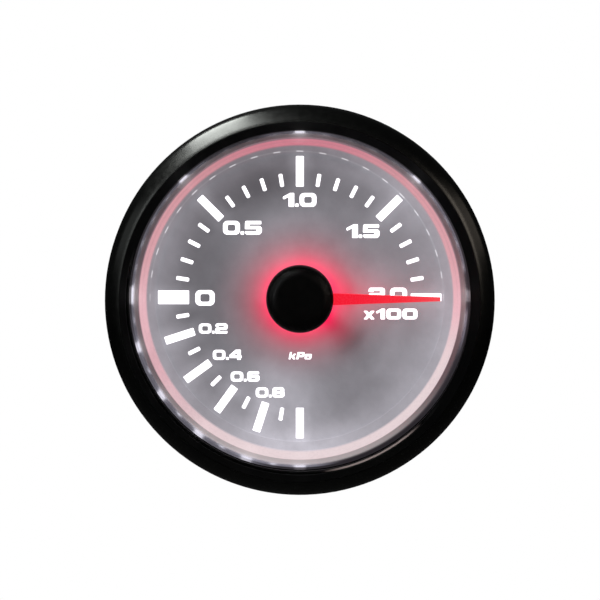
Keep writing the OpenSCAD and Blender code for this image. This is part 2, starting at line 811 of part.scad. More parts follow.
module motor_case_back() {
    hole_depth = inner_back_z - pivot_depth;
    shaft_boss_top = output_wheel_z - 2 * end_play;
    color([0.85, 0.84, 0.8]) in_face_frame() difference() {
        union() {
            difference() {
                slab(motor_back_z, case_split_z) case_outline(0);
                slab(inner_back_z, case_split_z + overrun) case_outline(motor_wall);
            }
            // lip that centres the two halves of the case
            difference() {
                slab(inner_back_z, case_split_z + case_lip) case_outline(motor_wall + hole_gap);
                slab(inner_back_z - overrun, case_split_z + case_lip + overrun)
                    case_outline(motor_wall + case_lip_t);
            }
            rod(shaft_boss_r, inner_back_z - motor_plate / 2, shaft_boss_top);
            translate(idler_place)
                rod(idler_hub_r, inner_back_z - motor_plate / 2,
                    idler_wheel_z - idler_hub_over - end_play);
        }
        rod(shaft_r + running_gap, inner_back_z, shaft_boss_top + overrun);
        translate(rotor_place) rod(pivot_r + running_gap, hole_depth, inner_back_z + overrun);
        translate(idler_place) rod(pivot_r + press_gap, hole_depth, case_split_z + overrun);
    }
}

module motor_stator() {
    low_z = coil_z - stator_t / 2;
    color([0.6, 0.6, 0.63]) in_face_frame() slab(low_z, low_z + stator_t) difference() {
        union() {
            translate(rotor_place) circle(stator_ring_r);
            // yoke, the three legs and the two arms to the ring
            translate([0, yoke_y]) square([2 * leg_x + leg_w, leg_w], center = true);
            for (side = [-1, 1]) translate([side * leg_x - leg_w / 2, -rotor_drop - leg_w / 2])
                square([leg_w, rotor_drop + yoke_y + leg_w / 2]);
            translate([-leg_w / 2, -rotor_drop]) square([leg_w, rotor_drop + yoke_y]);
            translate([0, -rotor_drop]) square([2 * leg_x + leg_w / 2, leg_w], center = true);
        }
        translate(rotor_place) circle(magnet_r + air_gap);
        // slots that part the ring into three poles
        translate(rotor_place) for (a = [-90, 45, 135]) rotate(a)
            translate([0, -neck_slot_w / 2]) square([stator_ring_r + overrun, neck_slot_w]);
    }
}

// One of the two coils, lying along its leg of the stator
module along_leg(side) {
    translate([side * leg_x, coil_top_y, coil_z]) rotate([90, 0, 0]) children();
}

module coil_bobbins() {
    coil_len = coil_top_y - coil_bottom_y;
    leg_hole = [leg_w + 2 * hole_gap, stator_t + 2 * hole_gap];
    color([0.9, 0.9, 0.85]) in_face_frame() for (side = [-1, 1]) along_leg(side) difference() {
        union() {
            rod(bobbin_r, 0, coil_len);
            rod(bobbin_flange_r, 0, bobbin_flange_t);
            rod(bobbin_flange_r, coil_len - bobbin_flange_t, coil_len);
        }
        slab(-overrun, coil_len + overrun) square(leg_hole, center = true);
    }
}

module coil_windings() {
    coil_len = coil_top_y - coil_bottom_y;
    color([0.72, 0.42, 0.2]) in_face_frame() for (side = [-1, 1]) along_leg(side)
        tube(coil_r, bobbin_r + press_gap, bobbin_flange_t + press_gap,
            coil_len - bobbin_flange_t - press_gap);
}

module motor_terminals() {
    color([0.8, 0.78, 0.72]) in_face_frame() for (p = terminal_places) translate(p)
        rod(terminal_r, inner_front_z - terminal_boss_h - terminal_tail, board_z + terminal_reach);
}

// Main board and what it carries

module main_board() {
    color([0.05, 0.3, 0.14]) in_face_frame() slab(board_back_z, board_z) difference() {
        keyed_disc(insert_r);
        circle(shaft_boss_r + fit_gap);
        for (p = peg_places) translate(p) circle(peg_r + hole_gap);
        for (p = terminal_places) translate(p) circle(terminal_r + hole_gap);
        at_board_screws() circle(screw_r + fit_gap);
    }
}

module white_leds() {
    size = white_led_size;
    color([0.97, 0.95, 0.8]) in_face_frame()
        around(white_led_count, white_led_place_r, 360 / white_led_count / 2)
            difference() {
                slab(board_z, board_z + size[2]) square([size[0], size[1]], center = true);
                rod(size[0] / 2 - fit_gap, board_z + size[2] * 0.6, board_z + size[2] + overrun);
            }
}

module red_leds() {
    size = red_led_size;
    color([0.95, 0.3, 0.3]) in_face_frame() around(red_led_count, red_led_place_r, 0)
        slab(board_z, board_z + size[2]) square([size[0], size[1]], center = true);
}

module controller_chip() {
    size = chip_size;
    color([0.06, 0.06, 0.06]) in_face_frame() translate(chip_place) {
        slab(board_back_z - size[2], board_back_z - lead_size[2] / 2)
            square([size[0], size[1]], center = true);
        // leads along two sides, standing on the board
        for (side = [-1, 1], k = [0 : lead_count - 1])
            translate([(k - (lead_count - 1) / 2) * lead_pitch,
                side * (size[1] / 2 + lead_size[1] / 2 - hole_gap)])
                slab(board_back_z - lead_size[2], board_back_z)
                    square([lead_size[0], lead_size[1]], center = true);
    }
}

module capacitors() {
    base = capacitor_base;
    color([0.75, 0.76, 0.78]) in_face_frame() for (p = capacitor_places) translate(p) {
        slab(board_back_z - base[2], board_back_z) square([base[0], base[1]], center = true);
        rod(capacitor_r, board_back_z - capacitor_h, board_back_z - base[2] / 2);
    }
}

module board_screws() {
    color([0.7, 0.7, 0.72]) in_face_frame() at_board_screws()
        translate([0, 0, board_back_z]) pan_screw(board_screw_len);
}

module at_link_pins() {
    for (k = [0 : link_pins_count - 1])
        translate([(k - (link_pins_count - 1) / 2) * link_pitch, link_y, 0]) children();
}

module link_socket() {
    hole_w = link_pin_w + 2 * hole_gap;
    color([0.07, 0.07, 0.07]) in_face_frame()
        slab(board_back_z - link_socket_h, board_back_z) difference() {
            translate([0, link_y]) square([link_len, link_w], center = true);
            at_link_pins() square(hole_w, center = true);
        }
}

module link_header() {
    hole_w = link_pin_w + 2 * press_gap;
    color([0.07, 0.07, 0.07]) in_face_frame()
        slab(back_board_front_z, back_board_front_z + link_base_h) difference() {
            translate([0, link_y]) square([link_len, link_w], center = true);
            at_link_pins() square(hole_w, center = true);
        }
}

module link_pins() {
    color([0.85, 0.7, 0.35]) in_face_frame() at_link_pins()
        slab(back_board_z - link_tail, board_back_z - link_socket_h + link_overlap)
            square(link_pin_w, center = true);
}

// Board and sockets at the back

module at_socket_pins(count, y) {
    for (k = [0 : count - 1])
        translate([(k - (count - 1) / 2) * pin_pitch, y, 0]) children();
}

module connector_board() {
    color([0.05, 0.3, 0.14]) in_face_frame() slab(back_board_z, back_board_front_z) difference() {
        rounded_rectangle(back_board_w, back_board_h, back_board_corner);
        at_back_board_screws() circle(screw_r + fit_gap);
        at_link_pins() circle(link_pin_w);
        at_socket_pins(power_pins, power_y) circle(socket_pin_w);
        at_socket_pins(sensor_pins, sensor_y) circle(socket_pin_w);
    }
}

module connector_board_screws() {
    color([0.7, 0.7, 0.72]) in_face_frame() at_back_board_screws()
        translate([0, 0, back_board_front_z]) rotate([180, 0, 0]) pan_screw(board_screw_len);
}

function socket_len(count) = (count - 1) * pin_pitch + 2 * socket_side;

// A shrouded socket that opens backwards, with a slot on one side that fits its plug one way round
module socket(count, y) {
    inner = [socket_len(count), socket_cavity_w];
    floor_z = back_board_z - socket_floor;
    in_face_frame() difference() {
        translate([0, y]) slab(socket_rear_z, back_board_z)
            square([inner[0] + 2 * socket_wall, inner[1] + 2 * socket_wall], center = true);
        translate([0, y]) slab(socket_rear_z - overrun, floor_z) square(inner, center = true);
        translate([0, y + inner[1] / 2]) slab(socket_rear_z - overrun, socket_rear_z + notch_h)
            square([notch_w, 2 * (socket_wall + overrun)], center = true);
        at_socket_pins(count, y) slab(floor_z - overrun, back_board_z + overrun)
            square(socket_pin_w + 2 * press_gap, center = true);
    }
}

module power_socket() {
    color([0.9, 0.89, 0.84]) socket(power_pins, power_y);
}

module sensor_socket() {
    color([0.12, 0.12, 0.13]) socket(sensor_pins, sensor_y);
}

module socket_pins() {
    tip_z = back_board_z - socket_floor - socket_pin_h;
    color([0.82, 0.8, 0.74]) in_face_frame() {
        at_socket_pins(power_pins, power_y) slab(tip_z, back_board_front_z + socket_pin_tail)
            square(socket_pin_w, center = true);
        at_socket_pins(sensor_pins, sensor_y) slab(tip_z, back_board_front_z + socket_pin_tail)
            square(socket_pin_w, center = true);
    }
}

// Back cover

module socket_window(count, y) {
    translate([0, y]) square([
        socket_len(count) + 2 * (socket_wall + window_gap),
        socket_cavity_w + 2 * (socket_wall + window_gap)], center = true);
}

module rear_cover() {
    color([0.07, 0.07, 0.075]) in_face_frame() difference() {
        union() {
            rod(bore_r - fit_gap, rear_z, cover_z);
            at_back_board_screws() rod(back_post_r, cover_z - overrun, back_board_z);
            // ribs that stiffen the cover between the studs and the posts
            for (side = [-1, 1]) translate([side * back_screw_x - cover_rib_t / 2, -back_screw_y])
                slab(cover_z - overrun, cover_z + cover_rib_h)
                    square([cover_rib_t, 2 * back_screw_y]);
        }
        slab(rear_z - overrun, cover_z + overrun) {
            socket_window(power_pins, power_y);
            socket_window(sensor_pins, sensor_y);
            at_cover_screws() circle(screw_r + fit_gap);
            at_studs() circle(stud_shank_r + hole_gap);
        }
        at_cover_screws() rod(screw_head_r + fit_gap, rear_z - overrun, rear_z + cover_recess);
        at_back_board_screws() rod(screw_r + hole_gap, back_board_front_z - board_screw_len - fit_gap,
            back_board_z + overrun);
    }
}

module rear_cover_screws() {
    color([0.6, 0.6, 0.62]) in_face_frame() at_cover_screws()
        translate([0, 0, rear_z + cover_recess]) pan_screw(cover_screw_len);
}

module mounting_studs() {
    color([0.72, 0.72, 0.7]) in_face_frame() at_studs() rotate_extrude() polygon([
        [0, rear_z - stud_reach], [stud_r - stud_tip_chamfer, rear_z - stud_reach],
        [stud_r, rear_z - stud_reach + stud_tip_chamfer], [stud_r, rear_z],
        [stud_shank_r, rear_z], [stud_shank_r, cover_z],
        [stud_head_r, cover_z], [stud_head_r, cover_z + stud_head_t],
        [0, cover_z + stud_head_t]]);
}

bezel();
lens_seal();
lens();
trim_ring();
halo_ring();
dial_face();
light_guide();
reflector();
pointer_light_pipe();
pointer_blade();
pointer_cap();
pointer_bush();
pointer_shaft();
output_wheel();
motor_case_front();
motor_case_back();
motor_stator();
coil_bobbins();
coil_windings();
rotor_magnet();
rotor_pinion();
idler_gear();
idler_pin();
motor_terminals();
main_board();
white_leds();
red_leds();
controller_chip();
capacitors();
board_screws();
link_socket();
link_header();
link_pins();
connector_board();
connector_board_screws();
power_socket();
sensor_socket();
socket_pins();
body_shell();
rear_cover();
rear_cover_screws();
mounting_studs();
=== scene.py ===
import math

import bpy
from mathutils import Matrix, Vector
from mathutils.geometry import tessellate_polygon


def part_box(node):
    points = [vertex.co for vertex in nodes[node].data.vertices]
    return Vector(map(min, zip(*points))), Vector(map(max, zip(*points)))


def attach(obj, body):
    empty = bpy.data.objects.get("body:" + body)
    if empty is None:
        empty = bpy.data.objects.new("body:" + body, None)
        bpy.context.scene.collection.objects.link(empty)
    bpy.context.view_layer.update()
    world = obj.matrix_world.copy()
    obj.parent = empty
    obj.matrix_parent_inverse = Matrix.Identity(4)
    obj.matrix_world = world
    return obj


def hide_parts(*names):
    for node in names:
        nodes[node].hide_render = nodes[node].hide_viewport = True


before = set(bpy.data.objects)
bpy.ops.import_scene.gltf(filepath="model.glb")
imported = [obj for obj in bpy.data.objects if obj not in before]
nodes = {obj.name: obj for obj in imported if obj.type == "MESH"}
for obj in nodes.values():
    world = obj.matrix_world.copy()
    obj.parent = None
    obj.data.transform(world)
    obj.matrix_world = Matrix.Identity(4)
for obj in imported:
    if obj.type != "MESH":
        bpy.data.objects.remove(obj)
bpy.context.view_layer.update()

MM = 0.001
TURN = 2 * math.pi
BLACK = (0, 0, 0)
# width of one pixel of the photo on the dial, in mm, and the middle of its print in the photo
PIXEL = 0.1548
PRINT_X, PRINT_Y = 299.5, 297.1
# how far the dial's front lies behind the panel, and how far its print stands out and sinks in
DIAL_DEPTH = 2.2
PRINT_T = 0.03
PRINT_SUNK = 0.01


def placed(name, data):
    """A new object in the scene."""
    item = bpy.data.objects.new(name, data)
    bpy.context.scene.collection.objects.link(item)
    return item


# Node trees

class Tree:
    """One procedural material. Lengths in its nodes are in mm of the object's own frame."""

    def __init__(self, name):
        self.mat = bpy.data.materials.new(name)
        self.mat.use_nodes = True
        self.tree = self.mat.node_tree
        self.tree.nodes.clear()
        self.out = self.new("OutputMaterial")
        self.mm = self.scaled(self.new("TexCoord").outputs["Object"], 1 / MM)
        self.x, self.depth, self.z = self.parts(self.mm)

    def new(self, kind):
        return self.tree.nodes.new("ShaderNode" + kind)

    def put(self, socket, value):
        if isinstance(value, bpy.types.NodeSocket):
            self.tree.links.new(value, socket)
        elif value is not None:
            if hasattr(value, "__len__") and len(value) == 3 and len(socket.default_value) == 4:
                value = (*value, 1)
            socket.default_value = value

    def scaled(self, vector, factor):
        node = self.new("VectorMath")
        node.operation = "SCALE"
        self.put(node.inputs[0], vector)
        self.put(node.inputs["Scale"], factor)
        return node.outputs[0]

    def parts(self, vector):
        node = self.new("SeparateXYZ")
        self.put(node.inputs[0], vector)
        return node.outputs

    def math(self, kind, a, b=None):
        node = self.new("Math")
        node.operation = kind
        self.put(node.inputs[0], a)
        self.put(node.inputs[1], b)
        return node.outputs[0]

    def add(self, a, b):
        return self.math("ADD", a, b)

    def sub(self, a, b):
        return self.math("SUBTRACT", a, b)

    def mul(self, a, b):
        return self.math("MULTIPLY", a, b)

    def length(self, a, b):
        return self.math("SQRT", self.add(self.mul(a, a), self.mul(b, b)))

    def radius(self):
        return self.length(self.x, self.z)

    def toward(self, angle, r):
        """Cosine of the turn between a point at radius r and a direction on the clock face."""
        a = math.radians(angle)
        along = self.add(self.mul(self.x, math.cos(a)), self.mul(self.z, math.sin(a)))
        return self.math("DIVIDE", along, r)

    def off_nearest(self, apart):
        """How far round the nearest of directions so many degrees apart is, as a share of that."""
        turn = self.mul(self.math("ARCTAN2", self.z, self.x), 360 / TURN / apart)
        return self.sub(turn, self.math("ROUND", turn))

    def step(self, value, low, high, a=0.0, b=1.0):
        """a at low, b at high, and a smooth change between them."""
        node = self.new("MapRange")
        node.interpolation_type = "SMOOTHSTEP"
        self.put(node.inputs["Value"], value)
        for name, number in zip(("From Min", "From Max", "To Min", "To Max"), (low, high, a, b)):
            node.inputs[name].default_value = number
        return node.outputs[0]

    def band(self, value, low, full, still, high):
        """1 from full to still, and 0 below low and above high."""
        return self.mul(self.step(value, low, full), self.step(value, still, high, 1, 0))

    def ramp(self, value, stops):
        node = self.new("ValToRGB")
        band = node.color_ramp
        while len(band.elements) > 1:
            band.elements.remove(band.elements[-1])
        band.elements[0].position, band.elements[0].color = stops[0][0], (*stops[0][1], 1)
        for place, colour in stops[1:]:
            band.elements.new(place).color = (*colour, 1)
        self.put(node.inputs[0], value)
        return node.outputs[0]

    def mix(self, share, a, b):
        node = self.new("Mix")
        node.data_type = "RGBA"
        self.put(node.inputs[0], share)
        self.put(node.inputs[6], a)
        self.put(node.inputs[7], b)
        return node.outputs[2]

    def blend(self, share, first, second):
        """Two shaders mixed."""
        node = self.new("MixShader")
        for socket, value in zip(node.inputs, (share, first, second)):
            self.put(socket, value)
        return node.outputs[0]

    def join(self, r, g, b):
        node = self.new("CombineColor")
        for socket, value in zip(node.inputs, (r, g, b)):
            self.put(socket, value)
        return node.outputs[0]

    def noise(self, per_mm, detail=3.0, stretch=(1, 1, 1)):
        place = self.new("Mapping")
        self.put(place.inputs["Vector"], self.mm)
        place.inputs["Scale"].default_value = stretch
        node = self.new("TexNoise")
        self.put(node.inputs["Vector"], place.outputs[0])
        node.inputs["Scale"].default_value = per_mm
        node.inputs["Detail"].default_value = detail
        return node.outputs[0]

    def spread(self, value, low=0.0, high=1.0):
        """A noise value brought to the range from low to high."""
        return self.step(value, 0.3, 0.7, low, high)

    def bump(self, height, strength, distance):
        node = self.new("Bump")
        self.put(node.inputs["Height"], height)
        node.inputs["Strength"].default_value = strength
        node.inputs["Distance"].default_value = distance * MM
        return node.outputs[0]

    def surface(self, **sockets):
        node = self.new("BsdfPrincipled")
        for name, value in sockets.items():
            self.put(node.inputs[name.replace("_", " ")], value)
        self.put(self.out.inputs["Surface"], node.outputs[0])
        return node.outputs[0]


def moulded(name, dark, light, rough, grain=9.0, depth=0.02, strength=0.35, **more):
    """Moulded plastic or rubber: cloudy colour, uneven gloss, and a fine eroded texture."""
    t = Tree(name)
    t.surface(
        Base_Color=t.mix(t.spread(t.noise(0.35, 2)), dark, light),
        Roughness=t.spread(t.noise(1.3, 3), rough - 0.05, rough + 0.07),
        Normal=t.bump(t.noise(grain, 4), strength, depth),
        **more)
    return t.mat


def metal(name, dark, light, rough, stretch=(1, 1, 1), grain=6.0, depth=0.01):
    """Plated or turned metal: a slight bloom, and fine marks along the way that it was worked."""
    t = Tree(name)
    marks = t.noise(grain, 4, stretch)
    t.surface(
        Base_Color=t.mix(t.spread(t.noise(0.5, 3)), dark, light),
        Metallic=1.0,
        Roughness=t.spread(marks, rough - 0.06, rough + 0.1),
        Normal=t.bump(marks, 0.3, depth))
    return t.mat


# Front materials

SHEET_GREY = (0.22, 0.215, 0.225)
DIAL_STRENGTH = 1.08
# painted paler and darker patches of the dial's light, each by its direction, sharpness, the radii
# where it starts and is full, and strength
DIAL_LOBES = [
    (259, 10, 7.5, 14, 0.19), (277, 20, 19, 23, 0.09), (238, 30, 17.5, 20, -0.08),
    (110, 5, 12.5, 20.5, -0.12), (174, 5, 10, 13.5, -0.055), (186, 5, 17.5, 20, 0.04),
    (112, 5, 16, 12, 0.055), (335, 8, 13.5, 16.5, 0.07), (40, 60, 15, 19, 0.05),
    (80, 20, 20.5, 22, -0.03), (25, 2, 18.5, 14, 0.032), (10, 20, 9, 11, 0.025)]


def dial_light(t):
    """Light that the printed sheet lets through: grey, brighter low down, and red round the hub."""
    r = t.radius()
    off_middle = t.add(r, 0.01)

    def lobe(angle, sharpness):
        """1 in one direction from the middle, falling off to both sides."""
        return t.math("POWER", t.math("MAXIMUM", t.toward(angle, off_middle), 0.0), sharpness)

    level = t.add(0.20, t.step(r, 17, 24, 0, 0.12))
    for angle, sharpness, first, full, strength in DIAL_LOBES:
        level = t.add(level, t.mul(lobe(angle, sharpness), t.step(r, first, full, 0, strength)))

    # white light bleeds into the sheet beside the long marks, 45 and 18 degrees apart
    above = t.step(t.z, -2.5, -1.5)
    below_left = t.mul(t.step(t.z, -1.5, -2.5), t.step(t.x, 1.5, 2.5, 1, 0))
    bleed = 0.0
    for apart, half in ((45, above), (18, below_left)):
        away = t.mul(t.math("ABSOLUTE", t.off_nearest(apart)), math.radians(apart))
        bleed = t.add(bleed, t.mul(t.step(t.mul(away, r), 0.5, 2.6, 1, 0), half))
    along_marks = t.mul(t.step(r, 14.5, 17.5), t.step(r, 21.5, 23.5, 0.06, 0))
    level = t.add(level, t.mul(bleed, along_marks))

    # shadows round the hub
    wedge = t.mul(lobe(321, 24), t.step(r, 10.5, 13.5, 1, 0))
    side = t.mul(lobe(196, 4), t.step(r, 9.0, 12.5, 1, 0))
    below = t.mul(lobe(265, 1), t.step(r, 6.2, 8.5, 1, 0))
    beside = t.mul(lobe(6, 8), t.step(r, 7.5, 9.5, 1, 0))
    for shadow, strength in ((wedge, 0.50), (side, 0.15), (below, 0.25), (beside, 0.32)):
        level = t.mul(level, t.sub(1.0, t.mul(shadow, strength)))
    level = t.mul(level, t.spread(t.noise(0.28, 4), 0.93, 1.07))
    level = t.mul(level, t.spread(t.noise(1.6, 2), 0.975, 1.025))

    # painted red light from the hub, with a fan and a haze on the right and a streak in the wedge
    red = t.mul(t.math("EXPONENT", t.mul(r, -0.50)), 13.2)
    red = t.mul(red, t.sub(1.0, t.mul(lobe(120, 3), 0.13)))
    red = t.math("MAXIMUM", t.sub(t.math("MINIMUM", red, 0.80), 0.012), 0.0)
    fan = t.mul(lobe(1, 14), t.band(r, 6, 8, 9, 17))
    haze = t.mul(lobe(12, 6), t.step(r, 6.0, 9.5, 1, 0))
    streak = t.mul(wedge, t.step(r, 8.5, 11, 1, 0))
    for light, strength in ((streak, 0.08), (fan, 0.13), (haze, 0.16)):
        red = t.add(red, t.mul(light, strength))

    # painted glints: a narrow line of light off the edge of the clear foot, brighter in dashes 9
    # degrees apart where the marks shine in it
    edge = t.band(t.length(t.add(t.x, 0.50), t.z), 22.56, 22.64, 22.72, 22.82)
    dash = t.step(t.math("ABSOLUTE", t.off_nearest(9)), 0.10, 0.20, 1, 0)
    line = t.mul(edge, t.mul(t.add(0.05, t.mul(dash, 0.42)), t.step(t.z, -4, 6)))

    cool = t.step(r, 7.5, 12.5)
    green = t.mul(level, t.add(0.92, t.mul(cool, 0.06)))
    green = t.math("MAXIMUM", t.sub(green, t.mul(red, 0.09)), 0.0)
    blue = t.mul(level, t.add(1.0, t.mul(cool, 0.07)))
    return t.join(t.add(level, t.add(red, line)), t.add(green, line), t.add(blue, line))


def dial_sheet():
    t = Tree("dial_sheet")
    t.surface(
        Base_Color=SHEET_GREY,
        Roughness=t.spread(t.noise(2, 3), 0.5, 0.62),
        Normal=t.bump(t.noise(11, 3), 0.12, 0.01),
        Emission_Color=dial_light(t),
        Emission_Strength=DIAL_STRENGTH)
    return t.mat


def frosted_halo():
    """Frosted slope lit from its edge, pink above and paler below, on a clear foot."""
    t = Tree("frosted_halo")
    r = t.radius()
    # the lower half is paler on the right than on the left
    lean = t.mul(t.x, t.step(t.z, -12, 0, 0.42, 0))
    height = t.add(t.mul(t.sub(t.z, lean), 1 / 50), 0.5)
    pink = t.ramp(height, [
        (0.02, (0.78, 0.67, 0.67)), (0.10, (0.78, 0.66, 0.66)), (0.25, (0.76, 0.59, 0.60)),
        (0.45, (0.79, 0.47, 0.51)), (0.62, (0.68, 0.35, 0.38)), (0.78, (0.66, 0.31, 0.34)),
        (0.90, (0.60, 0.26, 0.29)), (0.98, (0.60, 0.185, 0.24))])
    sparkle = t.spread(t.noise(2.2, 3), 0.94, 1.05)
    # painted shade: the slope's light is dimmer towards the lower left
    low_left = t.step(t.toward(213, r), 0.92, 0.99, 1, 0.88)
    slope = t.mix(t.mul(sparkle, low_left), BLACK, pink)
    # the ring's bounds look a little wider above than below
    slip = t.add(r, t.mul(t.z, 0.006))
    # painted shade: a faint darker line along the middle of the slope, above
    painted_dark_line = t.mul(t.band(slip, 24.22, 24.38, 24.38, 24.54), t.step(t.z, -8, 8, 0, 0.22))
    slope = t.mix(painted_dark_line, slope, (0.30, 0.15, 0.17))
    # painted shade: the slope's light dims at its outer rim
    rim = t.step(slip, 24.78, 24.92)
    slope = t.mix(rim, slope, (0.20, 0.13, 0.15))
    t.surface(
        Base_Color=t.mix(t.step(r, 23.7, 23.9), SHEET_GREY, (0.32, 0.22, 0.23)),
        Roughness=t.spread(t.noise(3, 3), 0.35, 0.5),
        Normal=t.bump(t.noise(14, 2), 0.15, 0.01),
        Emission_Color=t.mix(t.step(slip, 23.55, 23.92), dial_light(t), slope),
        Emission_Strength=DIAL_STRENGTH)
    return t.mat


def lit_print():
    """White marks printed clear, so the lamps shine through them."""
    t = Tree("lit_print")
    t.surface(
        Base_Color=(0.6, 0.6, 0.6),
        Roughness=t.spread(t.noise(3, 2), 0.4, 0.55),
        Emission_Color=t.mix(t.spread(t.noise(1.2, 3)), (1.0, 0.985, 1.0), (0.96, 0.95, 0.97)),
        Emission_Strength=2.1)
    return t.mat


def lit_pointer():
    """Red clear blade lit from the hub; its underside throws red light on the dial."""
    t = Tree("lit_pointer")
    reach = 25
    colour = t.ramp(t.mul(t.x, 1 / reach), [
        (0.10, (0.93, 0.012, 0.035)), (0.35, (0.93, 0.016, 0.04)), (0.60, (0.96, 0.028, 0.05)),
        (0.80, (0.97, 0.06, 0.08)), (0.88, (0.98, 0.085, 0.10))])
    facing = t.parts(t.new("NewGeometry").outputs["True Normal"])
    under = t.step(facing[1], 0.5, 0.9, 1.0, 3.5)
    t.surface(
        Base_Color=t.mix(t.spread(t.noise(1.5, 2)), (0.5, 0.01, 0.02), (0.6, 0.02, 0.03)),
        Roughness=t.spread(t.noise(4, 2), 0.22, 0.32),
        Emission_Color=t.scaled(colour, under),
        Emission_Strength=1.1)
    return t.mat


def smoked_lens():
    """Clear lens with a slight grey smoke. It mirrors less than real glass, as if coated."""
    t = Tree("smoked_lens")
    clear = t.new("BsdfTransparent")
    t.put(clear.inputs[0], t.mix(
        t.spread(t.noise(0.2, 2)), (0.935, 0.93, 0.94), (0.945, 0.94, 0.95)))
    gloss = t.surface(
        Base_Color=(0.02, 0.02, 0.022),
        Roughness=t.spread(t.noise(0.8, 3), 0.02, 0.06),
        Specular_IOR_Level=0.5)
    share = t.new("Fresnel")
    share.inputs["IOR"].default_value = 1.3
    t.put(t.out.inputs["Surface"], t.blend(share.outputs[0], clear.outputs[0], gloss))
    return t.mat


def trim_coating():
    """Dark chrome on moulded plastic: mirror-bright outside, satin inside, with painted light low
    down on the satin as if from the halo.
    """
    t = Tree("trim_coating")
    r = t.radius()
    # painted shade: the coating's mirror colour is made dark along the lower right
    painted_shade_lower_right = t.step(t.toward(312, r), 0.80, 0.90)
    bright = t.mix(painted_shade_lower_right, (0.46, 0.46, 0.51), (0.075, 0.06, 0.07))
    # painted shade: its mirror colour is also darker in three short stretches
    for angle, start, full, tone in (
            (3, 0.988, 0.997, 0.09), (65, 0.955, 0.99, 0.2), (114, 0.972, 0.99, 0.15)):
        stretch = t.step(t.toward(angle, r), start, full)
        bright = t.mix(stretch, bright, (tone, tone, tone * 1.1))
    # its outermost line is dark, least at the lower left
    outermost = t.mul(t.step(r, 25.90, 26.08), t.step(t.toward(222, r), 0.75, 0.95, 1, 0.2))
    bright = t.mix(outermost, bright, (0.03, 0.025, 0.03))
    # painted light: the satin inside glows pale low down, standing in for light from the halo
    below = t.step(t.z, -26, -6, 1, 0)
    lit = t.mul(t.mul(below, below), t.step(r, 25.5, 25.85, 0.34, 0))
    gloss_from, gloss_to = 25.3, 25.9
    rough = t.step(r, gloss_from, gloss_to, 0.42, 0.15)
    t.surface(
        Base_Color=t.mix(t.step(r, gloss_from, gloss_to), (0.40, 0.38, 0.38), bright),
        Metallic=1.0,
        Roughness=t.add(rough, t.spread(t.noise(2.5, 3), -0.015, 0.02)),
        Normal=t.bump(t.noise(4, 3), 0.08, 0.02),
        Emission_Color=t.mix(lit, BLACK, (1.0, 0.96, 0.93)),
        Emission_Strength=1.0)
    return t.mat


def bezel_paint():
    """Black satin paint on spun metal."""
    t = Tree("bezel_paint")
    r = t.radius()
    # the bevel down to the lens is duller than the shoulder, so it hardly mirrors the dial
    shoulder = t.step(r, 27.65, 27.95)
    # only its lowest edge shines, below and at the left
    edge = t.band(r, 26.4, 26.5, 26.65, 26.85)
    edge = t.mul(edge, t.step(t.add(t.z, t.mul(t.x, 0.5)), -12, -4, 1, 0))
    # painted reflection: on that edge a pale pinkish line, in one long arc at the lower right,
    # shows the lit halo
    arc = t.step(t.toward(296, r), 0.945, 0.99)
    painted_lip_reflection = t.mul(t.band(r, 26.38, 26.46, 26.6, 26.7), arc)
    paint = t.mix(
        t.spread(t.noise(0.3, 3)), (0.0007, 0.0008, 0.0008), (0.0014, 0.0015, 0.0014))
    polish = t.add(t.mul(shoulder, 0.13), t.mul(edge, 0.25))
    t.surface(
        Base_Color=t.mix(painted_lip_reflection, paint, (0.50, 0.39, 0.39)),
        Roughness=t.sub(t.spread(t.noise(1.1, 4), 0.35, 0.39), polish),
        Specular_IOR_Level=t.add(t.add(0.03, edge), t.mul(shoulder, 0.95)),
        Normal=t.bump(t.noise(7, 4), 0.05, 0.012))
    return t.mat


def cap_paint():
    """Matte black paint. The flat top looks slightly crowned towards its edge, which is duller."""
    t = Tree("cap_paint")
    r = t.radius()
    over = t.step(r, 2.9, 5.2, 0, 2.3)
    crown = t.mul(t.mul(over, over), -0.115)
    edge = t.step(r, 4.6, 4.9)
    t.surface(
        Base_Color=t.mix(
            t.spread(t.noise(0.7, 3)), (0.007, 0.0068, 0.0064), (0.014, 0.013, 0.0122)),
        Roughness=t.add(t.spread(t.noise(2.5, 3), 0.33, 0.43), t.mul(edge, 0.2)),
        Specular_IOR_Level=t.sub(0.9, t.mul(edge, 0.6)),
        Normal=t.bump(t.add(crown, t.mul(t.noise(12, 4), 0.0036)), 1, 1))
    return t.mat


# Inner materials

def board_mask(name):
    """Green solder mask with copper tracks and tinned via pads under it."""
    t = Tree(name)
    # the board's own plane is x and z, and the texture's is x and y
    flat = t.new("CombineXYZ")
    t.put(flat.inputs[0], t.x)
    t.put(flat.inputs[1], t.z)
    tracks = t.new("TexBrick")
    for socket, value in (
            ("Vector", flat.outputs[0]), ("Scale", 0.55), ("Mortar Size", 0.045),
            ("Color1", BLACK), ("Color2", (0.12, 0.12, 0.12)), ("Mortar", (1, 1, 1))):
        t.put(tracks.inputs[socket], value)
    parts = t.new("SeparateColor")
    t.put(parts.inputs[0], tracks.outputs["Color"])
    track = parts.outputs[0]
    cells = t.new("TexVoronoi")
    t.put(cells.inputs["Vector"], t.mm)
    t.put(cells.inputs["Scale"], 0.33)
    pads = t.step(cells.outputs["Distance"], 0.10, 0.13, 1, 0)
    green = t.mix(t.spread(t.noise(0.6, 3)), (0.004, 0.055, 0.022), (0.006, 0.075, 0.028))
    green = t.mix(track, green, (0.02, 0.14, 0.045))
    t.surface(
        Base_Color=t.mix(pads, green, (0.55, 0.55, 0.52)),
        Metallic=t.mul(pads, 0.8),
        Roughness=t.step(pads, 0, 1, 0.28, 0.38),
        Normal=t.bump(t.add(track, pads), 0.3, 0.03))
    return t.mat


